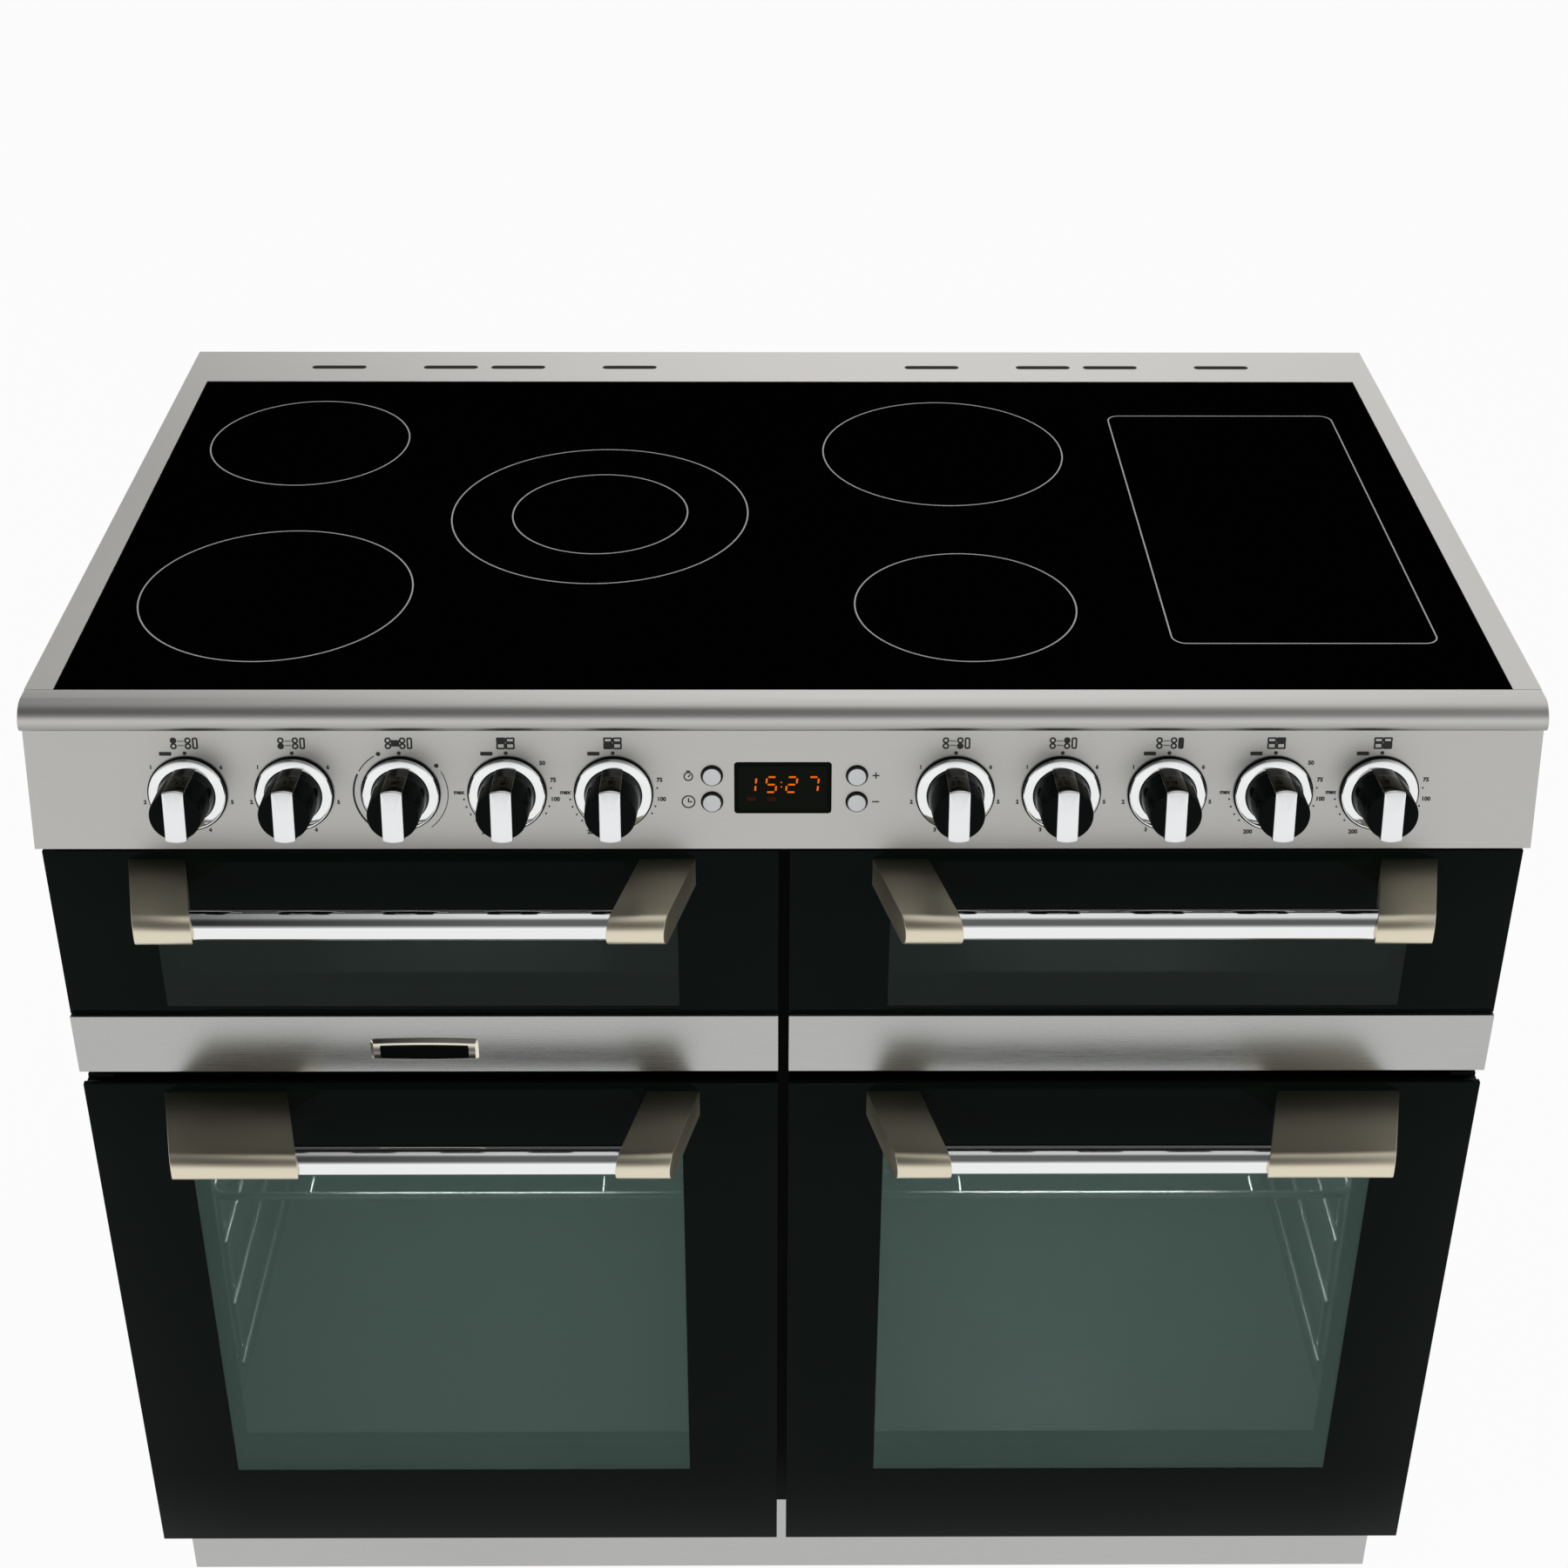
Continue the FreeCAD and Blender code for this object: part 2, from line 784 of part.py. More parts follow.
def clock_module():
    """Display lens, display body and clock housing with its four posts."""
    lens_back = display_proud - lens_thickness
    housing_front = -panel_sheet - clock_gap
    lens = display_block(0, lens_back, display_proud)
    body = display_block(-display_body_inset, housing_front, lens_back)
    housing = block(
        -clock_half_width, clock_half_width, clock_bottom, clock_bottom + clock_height,
        housing_front - clock_depth, housing_front,
    )
    posts = []
    for x in (-clock_half_width + clock_post_inset, clock_half_width - clock_post_inset):
        for y in (clock_bottom + clock_post_inset, clock_bottom + clock_height - clock_post_inset):
            posts.append(rod(V(x, y, housing_front), V(x, y, -panel_sheet), clock_post_radius))
    return Part.makeCompound([on_panel(lens), on_panel(body), on_panel(fused([housing] + posts))])


def push_button(x, y):
    """Round cap with a collar behind the panel and a stem towards the clock board."""
    collar_top = -panel_sheet - button_seat_gap
    collar_low = collar_top - button_collar_thickness
    stem_end = -panel_sheet - clock_gap + button_travel + button_end_gap
    cap = turned([
        (0, collar_top), (button_radius, collar_top), (button_radius, button_proud - button_edge),
        (button_radius - button_edge, button_proud), (0, button_proud),
    ])
    collar = Part.makeCylinder(button_collar_radius, button_collar_thickness, V(0, 0, collar_low))
    stem = Part.makeCylinder(button_stem_radius, collar_low - stem_end, V(0, 0, stem_end))
    return on_panel(fused([cap, collar, stem]), x, y)


def knob(x):
    """Control knob: skirt ring, barrel, grip bar and shaft as separate solids."""
    skirt_back = knob_panel_gap
    skirt_front = skirt_back + skirt_thickness
    barrel_front = skirt_front + barrel_length
    grip_front = barrel_front + grip_thickness
    skirt = turned([
        (0, skirt_back), (skirt_radius, skirt_back), (skirt_radius, skirt_back + skirt_edge),
        (skirt_top_radius, skirt_front), (0, skirt_front),
    ])
    barrel = turned([
        (0, skirt_front), (barrel_base_radius, skirt_front),
        (barrel_front_radius, barrel_front - barrel_edge),
        (barrel_front_radius - barrel_edge, barrel_front), (0, barrel_front),
    ])
    hood = turned([
        (0, skirt_front), (barrel_base_radius + grip_thickness, skirt_front),
        (barrel_front_radius + grip_thickness, grip_front - barrel_edge),
        (barrel_front_radius + grip_thickness - barrel_edge, grip_front), (0, grip_front),
    ])
    half_grip = grip_width / 2
    reach = skirt_radius
    band = block(-half_grip, half_grip, -reach, reach, skirt_front, grip_front)
    below = block(-half_grip - overrun, half_grip + overrun, -reach, 0, 0, barrel_front)
    grip = with_cuts(hood.common(band), [barrel, below])
    shaft = Part.makeCylinder(shaft_radius, shaft_reach + skirt_back, V(0, 0, -shaft_reach))
    return Part.makeCompound([on_panel(part, x, knob_height) for part in (skirt, barrel, grip, shaft)])


def control_switches():
    """A rotary switch behind each knob, with a bush that the knob's shaft turns in."""
    half = switch_size / 2
    box = block(-half, half, -half, half, -panel_sheet - switch_depth, -panel_sheet)
    body = softened(box, AXIS_Z, switch_corner)
    bush = Part.makeCylinder(bush_radius, panel_sheet + bush_proud, V(0, 0, -panel_sheet))
    depth = shaft_reach + shaft_end_gap
    bore = Part.makeCylinder(shaft_radius + shaft_clearance, depth + overrun, V(0, 0, -depth))
    switch = fused([body, bush]).cut(bore)
    return Part.makeCompound([on_panel(switch, x, knob_height) for x in knob_places()])


# Cabinet

def side_panels():
    """Left and right side sheets with inward folds at front and back."""
    panels = []
    top_z = hob_top_z - hob_sheet - hob_sheet
    for side in SIDES:
        sheet = block(side_inner_x, side_outer_x, frame_y, body_back_y, floor_top_z, top_z)
        flange_x = side_inner_x - side_flange
        front = block(flange_x, side_inner_x, frame_y + frame_sheet, frame_y + frame_sheet + side_sheet,
                      floor_top_z, panel_bottom_z)
        back = block(flange_x, side_inner_x, body_back_y - side_sheet - side_sheet, body_back_y - side_sheet,
                     floor_top_z, hob_skirt_z)
        panels.append(mirrored(fused([sheet, front, back]), side))
    return Part.makeCompound(panels)


def back_panel():
    """Rear sheet with louvre slots and the opening for the terminal box."""
    sheet = block(
        -side_inner_x, side_inner_x, body_back_y - side_sheet, body_back_y, floor_top_z, hob_skirt_z)
    cuts = []
    first_x = -(louvre_columns - 1) * louvre_pitch_x / 2
    first_z = floor_top_z + (hob_skirt_z - floor_top_z) * louvre_bottom_share
    for column in range(louvre_columns):
        for row in range(louvre_rows):
            x = first_x + column * louvre_pitch_x
            z = first_z + row * louvre_pitch_z
            cuts.append(block(x - louvre_length / 2, x + louvre_length / 2,
                              body_back_y - side_sheet - overrun, body_back_y + overrun,
                              z, z + louvre_width))
    half = terminal_width / 2 + terminal_clearance
    cuts.append(block(terminal_x - half, terminal_x + half,
                      body_back_y - side_sheet - overrun, body_back_y + overrun,
                      terminal_bottom - terminal_clearance,
                      terminal_bottom + terminal_height + terminal_clearance))
    return with_cuts(sheet, cuts)


def base_pan():
    """Bottom sheet that carries the sides, with holes for the studs of the feet."""
    sheet = block(-side_outer_x, side_outer_x, frame_y, body_back_y, floor_z, floor_top_z)
    holes = [rod(V(x, y, floor_z - overrun), V(x, y, floor_top_z + overrun), stud_radius + stud_clearance)
             for x, y in foot_places()]
    return with_cuts(sheet, holes)


def foot_places():
    """Place of each foot."""
    return [(side * foot_x, y) for side in SIDES for y in foot_rows]


def plinth():
    """Kickboard below the doors, with side returns and a top fold under the base pan."""
    x = side_outer_x - plinth_side_inset
    y0 = face_y + plinth_setback
    y1 = y0 + plinth_return
    z0 = floor_z - plinth_height
    body = block(-x, x, y0, y1, z0, floor_z)
    inner_x = x - side_sheet
    inside = block(
        -inner_x, inner_x, y0 + side_sheet, y1 + overrun, z0 - overrun, floor_z - side_sheet)
    open_top = block(-inner_x, inner_x, y0 + plinth_flange, y1 + overrun, z0, floor_z + overrun)
    return with_cuts(body, [inside, open_top])


def levelling_feet():
    """Four feet: pad, neck, threaded stud and the nut that carries the base pan."""
    feet = []
    for x, y in foot_places():
        pad = turned([
            (0, 0), (foot_radius, 0), (foot_radius, foot_pad),
            (foot_neck_radius, foot_pad + foot_cone), (0, foot_pad + foot_cone),
        ])
        stud = Part.makeCylinder(stud_radius, floor_top_z + stud_above)
        corners = [V(nut_radius * math.cos(2 * math.pi * side / nut_sides),
                     nut_radius * math.sin(2 * math.pi * side / nut_sides),
                     floor_z - nut_height) for side in range(nut_sides)]
        nut = Part.Face(Part.makePolygon(corners + corners[:1])).extrude(V(0, 0, nut_height))
        feet.append(moved(fused([pad, stud, nut]), x, y))
    return Part.makeCompound(feet)


def front_frame():
    """Black front sheet with the four oven mouths."""
    sheet = block(
        -side_inner_x, side_inner_x, frame_y, cavity_mouth_y, floor_top_z, panel_bottom_z + panel_sheet)
    mouths = []
    for bottom, height in (UPPER, LOWER):
        for side in SIDES:
            mouth = block(cavity_left_x, cavity_right_x, frame_y - overrun, cavity_mouth_y + overrun,
                          bottom, bottom + height)
            mouths.append(mirrored(mouth, side))
    return with_cuts(sheet, mouths)


def terminal_box():
    """Mains inlet: housing with its cable hole, and the terminal block inside it."""
    x0 = terminal_x - terminal_width / 2
    x1 = terminal_x + terminal_width / 2
    z0 = terminal_bottom
    z1 = terminal_bottom + terminal_height
    y1 = hob_back_y - terminal_rear_inset
    y0 = y1 - terminal_depth
    wall = terminal_wall
    housing = block(x0, x1, y0, y1, z0, z1)
    lip = block(x0 - terminal_lap, x1 + terminal_lap, body_back_y, body_back_y + terminal_lap_thickness,
                z0 - terminal_lap, z1 + terminal_lap)
    hollow = block(x0 + wall, x1 - wall, y0 + wall, y1 - wall, z0 + wall, z1 - wall)
    hole = rod(V(terminal_x, y1 - wall - overrun, (z0 + z1) / 2), V(terminal_x, y1 + overrun, (z0 + z1) / 2),
               cable_hole_radius)
    half = terminal_block_width / 2
    middle_z = (z0 + z1) / 2
    inner = block(terminal_x - half, terminal_x + half, y0 + wall, y0 + wall + terminal_block_depth,
                  middle_z - terminal_block_height / 2, middle_z + terminal_block_height / 2)
    return Part.makeCompound([with_cuts(fused([housing, lip]), [hollow, hole]), inner])


# Ovens

def each_oven():
    """Side, cavity bottom, cavity height and whether it is a lower oven, for all four."""
    ovens = []
    for side in SIDES:
        ovens.append((side, UPPER[0], UPPER[1], False))
        ovens.append((side, LOWER[0], LOWER[1], True))
    return ovens


def oven_cavities():
    """Enamelled boxes with a flange behind the front frame and a fan hole in the lower ones."""
    cavities = []
    wall = cavity_wall
    for side, bottom, height, lower in each_oven():
        outer = block(cavity_left_x - wall, cavity_right_x + wall, cavity_mouth_y, cavity_back_y + wall,
                      bottom - wall, bottom + height + wall)
        flange = block(cavity_left_x - cavity_flange, cavity_right_x + cavity_flange,
                       cavity_mouth_y, cavity_mouth_y + wall,
                       bottom - cavity_flange, bottom + height + cavity_flange)
        inside = block(cavity_left_x, cavity_right_x, cavity_mouth_y - overrun, cavity_back_y,
                       bottom, bottom + height)
        cavity = fused([outer, flange]).cut(inside)
        if lower:
            hole = rod(V(cavity_x, cavity_back_y - overrun, bottom + height / 2),
                       V(cavity_x, cavity_back_y + wall + overrun, bottom + height / 2),
                       fan_shaft_hole_radius)
            cavity = cavity.cut(hole)
        cavities.append(mirrored(cavity, side))
    return Part.makeCompound(cavities)


def door_seals():
    """Soft gasket round each oven mouth, a hair behind the closed door."""
    seals = []
    y0 = door_back_y + seal_gap
    near = seal_offset
    far = seal_offset + seal_width
    for side, bottom, height, lower in each_oven():
        outer = block(
            cavity_left_x - far, cavity_right_x + far, y0, frame_y, bottom - far, bottom + height + far)
        inner = block(cavity_left_x - near, cavity_right_x + near, y0 - overrun, frame_y + overrun,
                      bottom - near, bottom + height + near)
        seals.append(mirrored(softened(outer, AXIS_Y, seal_width).cut(inner), side))
    return Part.makeCompound(seals)


def rack_heights(lower):
    """Heights of the rack's level wires above the cavity floor."""
    if lower:
        first, levels = lower_rack_first, lower_rack_levels
        last = LOWER[1] - lower_rack_top_space
    else:
        first, levels = upper_rack_first, upper_rack_levels
        last = UPPER[1] - upper_rack_top_space
    return [first + (last - first) * level / (levels - 1) for level in range(levels)]


def shelf_rack(bottom, lower, wall_x, inward):
    """Ladder of welded wire on one side wall; inward is the way to the oven's middle."""
    y0 = cavity_mouth_y + rack_front
    y1 = cavity_back_y - rack_rear_space
    level_x = wall_x + inward * rack_inset
    upright_x = wall_x + inward * rack_upright_inset
    heights = rack_heights(lower)
    low_z = bottom + heights[0] - rack_foot_margin
    high_z = bottom + heights[-1] + rack_foot_margin
    wires = []
    for height in heights:
        wires.append(rod(V(level_x, y0, bottom + height), V(level_x, y1, bottom + height), rack_wire))
    for y in (y0 + rack_end_margin, y1 - rack_end_margin):
        wires.append(rod(V(upright_x, y, low_z), V(upright_x, y, high_z), rack_wire))
        for z in (low_z + rack_wire + rack_wire, high_z - rack_wire - rack_wire):
            wires.append(rod(V(wall_x, y, z), V(upright_x, y, z), rack_wire))
    return fused(wires)


def shelf_runners():
    """Two ladder racks in each oven."""
    racks = []
    for side, bottom, height, lower in each_oven():
        for wall_x, inward in ((cavity_left_x, 1), (cavity_right_x, -1)):
            racks.append(mirrored(shelf_rack(bottom, lower, wall_x, inward), side))
    return Part.makeCompound(racks)


def wire_shelf(side, bottom, lower, level):
    """Welded wire shelf that rests on one level of the racks, its rods running left to right."""
    z = bottom + rack_heights(lower)[level] + rack_wire + shelf_wire + shelf_rest_gap
    x0 = cavity_left_x + shelf_side_inset
    x1 = cavity_right_x - shelf_side_inset
    y0 = cavity_mouth_y + shelf_front
    y1 = cavity_back_y - shelf_rear_space
    middle = (x0 + x1) / 2
    ring = tube_along(
        [V(middle, y0, z), V(x0, y0, z), V(x0, y1, z), V(x1, y1, z), V(x1, y0, z), V(middle, y0, z)],
        shelf_corner, shelf_wire,
    )
    wires = [ring]
    for index in range(1, shelf_cross_count + 1):
        y = y0 + (y1 - y0) * index / (shelf_cross_count + 1)
        wires.append(rod(V(x0, y, z), V(x1, y, z), shelf_cross_wire))
    stay_z = z - shelf_stay_drop
    for stay in SIDES:
        x = middle + stay * (x1 - x0) * shelf_stay_share
        wires.append(rod(V(x, y0, stay_z), V(x, y1, stay_z), shelf_cross_wire))
    return mirrored(fused(wires), side)


def fan_covers():
    """Shallow sheet box over the fan, with radial slots and side outlets."""
    covers = []
    half = fan_cover_size / 2
    y0 = cavity_back_y - fan_cover_depth
    sheet = fan_cover_sheet
    for side, bottom, height, lower in each_oven():
        if not lower:
            continue
        z = bottom + height / 2
        shell = block(cavity_x - half, cavity_x + half, y0, cavity_back_y, z - half, z + half)
        inside = block(cavity_x - half + sheet, cavity_x + half - sheet, y0 + sheet, cavity_back_y + overrun,
                       z - half + sheet, z + half - sheet)
        cuts = [inside]
        for index in range(fan_slot_count):
            slot = block(fan_slot_inner, fan_slot_outer, y0 - overrun, y0 + sheet + overrun,
                         -fan_slot_width / 2, fan_slot_width / 2)
            slot.rotate(V(0, 0, 0), AXIS_Y, 360 * index / fan_slot_count)
            cuts.append(moved(slot, cavity_x, 0, z))
        for edge in SIDES:
            x = cavity_x + edge * (half - fan_side_slot_margin)
            cuts.append(block(x - fan_side_slot_width / 2, x + fan_side_slot_width / 2,
                              y0 - overrun, y0 + sheet + overrun,
                              z - fan_side_slot_length / 2, z + fan_side_slot_length / 2))
        covers.append(mirrored(with_cuts(shell, cuts), side))
    return Part.makeCompound(covers)


def fan_impeller(side):
    """Bladed fan wheel on its shaft."""
    bottom, height = LOWER
    z = bottom + height / 2
    disc_y = cavity_back_y - impeller_gap
    front_y = disc_y - impeller_depth
    disc = rod(V(0, disc_y - impeller_disc, 0), V(0, disc_y, 0), impeller_radius)
    hub = rod(V(0, front_y, 0), V(0, disc_y, 0), impeller_hub_radius)
    shaft = rod(V(0, disc_y, 0), V(0, cavity_back_y + cavity_wall + fan_shaft_reach, 0), fan_shaft_radius)
    blades = []
    for index in range(impeller_blades):
        blade = block(
            impeller_inner_radius, impeller_radius - blade_thickness,
            front_y, disc_y - impeller_disc / 2,
            -blade_thickness / 2, blade_thickness / 2,
        )
        blade.rotate(V(0, 0, 0), AXIS_Y, 360 * index / impeller_blades)
        blades.append(blade)
    wheel = fused([disc, hub, shaft] + blades)
    return mirrored(moved(wheel, cavity_x, 0, z), side)


def fan_motors():
    """Motor behind each lower oven, on its mounting plate, with a bore for the shaft."""
    motors = []
    bottom, height = LOWER
    z = bottom + height / 2
    half = motor_plate_size / 2
    y0 = cavity_back_y + cavity_wall
    for side in SIDES:
        plate = block(cavity_x - half, cavity_x + half, y0, y0 + motor_plate, z - half, z + half)
        can = rod(V(cavity_x, y0, z), V(cavity_x, y0 + motor_length, z), motor_radius)
        bore = rod(V(cavity_x, y0 - overrun, z),
                   V(cavity_x, y0 + fan_shaft_reach + shaft_end_gap, z), fan_shaft_radius + shaft_clearance)
        motors.append(mirrored(fused([plate, can]).cut(bore), side))
    return Part.makeCompound(motors)


def grill_element(bottom, height):
    """Bent heating rod under an upper oven's ceiling, its two ends on the rear wall."""
    z = bottom + height - grill_drop
    neck = cavity_width * grill_neck_share
    inner = cavity_width * grill_inner_share
    outer = cavity_width * grill_outer_share
    rear = cavity_back_y - cavity_depth * grill_rear_share
    mid = cavity_back_y - cavity_depth * grill_mid_share
    front = cavity_back_y - cavity_depth * grill_front_share
    half_path = [
        (neck, cavity_back_y), (neck, rear), (outer, rear),
        (outer, front), (inner, front), (inner, mid),
    ]
    points = [V(cavity_x - x, y, z) for x, y in half_path]
    points += [V(cavity_x + x, y, z) for x, y in reversed(half_path)]
    return tube_along(points, grill_bend, element_wire)


def ring_element(bottom, height):
    """Heating rod bent nearly full circle about the fan, its two ends on the rear wall."""
    z = bottom + height / 2
    y = cavity_back_y - ring_element_leg
    half_gap = ring_element_gap / 2
    diagonal = ring_element_bend * (1 - math.cos(math.pi / 4))
    halves = []
    for side in SIDES:
        outward = V(side * math.sin(half_gap), 0, -math.cos(half_gap))
        along = V(-side * math.cos(half_gap), 0, -math.sin(half_gap))
        start = V(cavity_x, y, z) + outward * ring_element_radius
        middle = start + along * (ring_element_bend - diagonal) + V(0, diagonal, 0)
        turned_back = start + along * ring_element_bend + V(0, ring_element_bend, 0)
        foot = V(turned_back.x, cavity_back_y, turned_back.z)
        halves.append((start, middle, turned_back, foot))
    (start_a, middle_a, back_a, foot_a), (start_b, middle_b, back_b, foot_b) = halves
    path = Part.Wire([
        Part.LineSegment(foot_a, back_a).toShape(),
        Part.Arc(back_a, middle_a, start_a).toShape(),
        Part.Arc(start_a, V(cavity_x, y, z + ring_element_radius), start_b).toShape(),
        Part.Arc(start_b, middle_b, back_b).toShape(),
        Part.LineSegment(back_b, foot_b).toShape(),
    ])
    section = Part.Wire(Part.makeCircle(element_wire, foot_a, AXIS_Y))
    return path.makePipeShell([section], True, False)


def oven_elements():
    """Grill rods of the upper ovens and ring rods of the lower ovens."""
    elements = []
    for side, bottom, height, lower in each_oven():
        shape = ring_element(bottom, height) if lower else grill_element(bottom, height)
        elements.append(mirrored(shape, side))
    return Part.makeCompound(elements)


# Doors

def door_pane(z0, z1):
    """Outer glass of a door, on the right."""
    pane = block(door_inner_x, door_outer_x, face_y, face_y + door_glass, z0, z1)
    return softened(pane, AXIS_Y, door_glass_corner)


def door_strip():
    """Folded stainless strip below the glass of an upper door."""
    strip = block(door_inner_x, door_outer_x, face_y - strip_proud, face_y + door_glass,
                  upper_bottom_z, strip_top_z)
    inside = block(door_inner_x + strip_sheet, door_outer_x - strip_sheet,
                   face_y - strip_proud + strip_sheet, face_y + door_glass + overrun,
                   upper_bottom_z + strip_sheet, strip_top_z - strip_sheet)
    return strip.cut(inside)


def liner_pan(z0, z1, window_z0, window_z1):
    """Inner door shell, open to the front, with a window in its back."""
    sheet = liner_sheet
    x0 = door_inner_x + liner_inset
    x1 = door_outer_x - liner_inset
    low = z0 + liner_inset
    high = z1 - liner_inset
    shell = block(x0, x1, face_y + door_glass, door_back_y, low, high)
    inside = block(x0 + sheet, x1 - sheet, face_y + door_glass - overrun, door_back_y - sheet,
                   low + sheet, high - sheet)
    window = block(window_inner_x, window_outer_x, face_y, door_back_y + overrun, window_z0, window_z1)
    return with_cuts(shell, [inside, window])


def inner_pane_shape(window_z0, window_z1):
    """Inner glass, held against the inside of the liner's back."""
    y1 = door_back_y - liner_sheet
    return block(window_inner_x - pane_lap, window_outer_x + pane_lap, y1 - inner_pane, y1,
                 window_z0 - pane_lap, window_z1 + pane_lap)


def upper_liner(window_z0, window_z1):
    """Liner of a drop-down door, with slotted hinge blocks at its lower corners."""
    pan = liner_pan(upper_bottom_z, upper_top_z, window_z0, window_z1)
    y0 = face_y + door_glass
    low = upper_bottom_z + liner_inset
    solids = [pan]
    slots = []
    half_block = hinge_block_width / 2
    half_slot = arm_thickness / 2 + arm_slot_clearance
    for x in upper_arm_places:
        x0 = max(x - half_block, door_inner_x + liner_inset)
        x1 = min(x + half_block, door_outer_x - liner_inset)
        solids.append(block(x0, x1, y0, y0 + hinge_block_depth, low, low + hinge_block_height))
        slots.append(block(x - half_slot, x + half_slot, y0 - overrun, door_back_y + overrun,
                           low - overrun, upper_axis_z + arm_half_height + arm_slot_clearance))
        slots.append(rod(V(x - half_block - overrun, upper_axis_y, upper_axis_z),
                         V(x + half_block + overrun, upper_axis_y, upper_axis_z),
                         upper_pin_radius + pin_clearance))
    return with_cuts(fused(solids), slots)


def lower_liner(window_z0, window_z1):
    """Liner of a side-hung door, with hinge blocks at its outer corners."""
    pan = liner_pan(lower_bottom_z, lower_top_z, window_z0, window_z1)
    y0 = face_y + door_glass
    low = lower_bottom_z + liner_inset
    high = lower_top_z - liner_inset
    x1 = door_outer_x - liner_inset
    x0 = x1 - lower_block_width
    solids = [pan]
    bores = []
    radius = lower_pin_radius + pin_clearance
    for z0, z1 in ((low, low + lower_block_height), (high - lower_block_height, high)):
        solids.append(block(x0, x1, y0, y0 + hinge_block_depth, z0, z1))
    depth = lower_pin_reach + lower_pin_end_gap
    for z0, z1 in ((low - overrun, low + depth), (high - depth, high + overrun)):
        bores.append(rod(V(lower_axis_x, lower_axis_y, z0), V(lower_axis_x, lower_axis_y, z1), radius))
    return with_cuts(fused(solids), bores)


def handle_bracket(face_x0, face_x1, shift, top_z):
    """Slanted bracket: flat on top, half round at its front end, square on the door."""
    front_y = face_y - handle_reach
    axis_y = face_y - bracket_nose_stand_off
    middle_z = top_z - bracket_height / 2
    plan = prism_z(
        [(face_x0, face_y), (face_x1, face_y), (face_x1 + shift, front_y), (face_x0 + shift, front_y)],
        top_z - bracket_height, top_z,
    )
    low_x = min(face_x0, face_x0 + shift)
    high_x = max(face_x1, face_x1 + shift)
    arm = block(low_x, high_x, axis_y, face_y, top_z - bracket_height, top_z)
    nose = rod(V(low_x, axis_y, middle_z), V(high_x, axis_y, middle_z), bracket_height / 2)
    return plan.common(fused([arm, nose]))


def door_handle(outer_width, top_z):
    """Two brackets and the round bar between them, on the right door."""
    axis_y = face_y - bracket_nose_stand_off + bar_setback
    middle_z = top_z - bracket_height / 2
    inner_x1 = handle_inner_x + bracket_width
    outer_x0 = handle_outer_x - outer_width
    inner = handle_bracket(handle_inner_x, inner_x1, bracket_slant, top_z)
    outer = handle_bracket(outer_x0, handle_outer_x, -bracket_slant, top_z)
    bar = rod(V(handle_inner_x + bracket_slant + bracket_width / 2, axis_y, middle_z),
              V(outer_x0 - bracket_slant + bracket_width / 2, axis_y, middle_z), bar_radius)
    return Part.makeCompound([inner.cut(bar), outer.cut(bar), bar])


def upper_door_nodes():
    """Pieces of a drop-down door, on the right."""
    return {
        "glass": door_pane(upper_glass_z, upper_top_z),
        "trim": door_strip(),
        "liner": upper_liner(*upper_window),
        "inner_glass": inner_pane_shape(*upper_window),
        "handle": door_handle(bracket_width, upper_top_z - upper_handle_drop),
    }


def lower_door_nodes():
    """Pieces of a side-hung door, on the right."""
    return {
        "glass": door_pane(lower_bottom_z, lower_top_z),
        "liner": lower_liner(*lower_window),
        "inner_glass": inner_pane_shape(*lower_window),
        "handle": door_handle(wide_bracket_width, lower_top_z - lower_handle_drop),
    }


def upper_hinge_arm(x):
    """Arm from the front frame with the pin that an upper door turns on."""
    half = arm_thickness / 2
    bar = block(x - half, x + half, upper_axis_y, frame_y,
                upper_axis_z - arm_half_height, upper_axis_z + arm_half_height)
    nose = rod(
        V(x - half, upper_axis_y, upper_axis_z), V(x + half, upper_axis_y, upper_axis_z), arm_half_height)
    pin = rod(V(x - upper_pin_length / 2, upper_axis_y, upper_axis_z),
              V(x + upper_pin_length / 2, upper_axis_y, upper_axis_z), upper_pin_radius)
    return fused([bar, nose, pin])


def lower_hinge_plate(plate_z0, pin_z0, pin_z1):
    """Plate from the front frame with the upright pin that a lower door turns on."""
    x0 = lower_axis_x - hinge_plate_width / 2
    x1 = lower_axis_x + hinge_plate_width / 2
    plate = block(x0, x1, lower_axis_y - hinge_plate_nose, frame_y, plate_z0, plate_z0 + hinge_plate)
    pin = rod(V(lower_axis_x, lower_axis_y, pin_z0), V(lower_axis_x, lower_axis_y, pin_z1), lower_pin_radius)
    return fused([plate, pin])


def door_hinge_brackets():
    """All fixed hinge pieces of the four doors."""
    top_z = lower_top_z + hinge_plate_gap
    bottom_z = lower_bottom_z - hinge_plate_gap - hinge_plate
    pieces = []
    for side in SIDES:
        for x in upper_arm_places:
            pieces.append(mirrored(upper_hinge_arm(x), side))
        top = lower_hinge_plate(top_z, lower_top_z - liner_inset - lower_pin_reach, top_z + hinge_plate)
        bottom = lower_hinge_plate(bottom_z, bottom_z, lower_bottom_z + liner_inset + lower_pin_reach)
        pieces.append(mirrored(top, side))
        pieces.append(mirrored(bottom, side))
    return Part.makeCompound(pieces)


# The whole cooker, one entry for each node

KNOB_NAMES = (
    "hob_knob_rear_left",
    "hob_knob_front_left",
    "hob_knob_dual",
    "oven_knob_upper_left",
    "oven_knob_lower_left",
    "hob_knob_front_right",
    "hob_knob_rear_right",
    "hob_knob_rectangle",
    "oven_knob_upper_right",
    "oven_knob_lower_right",
)

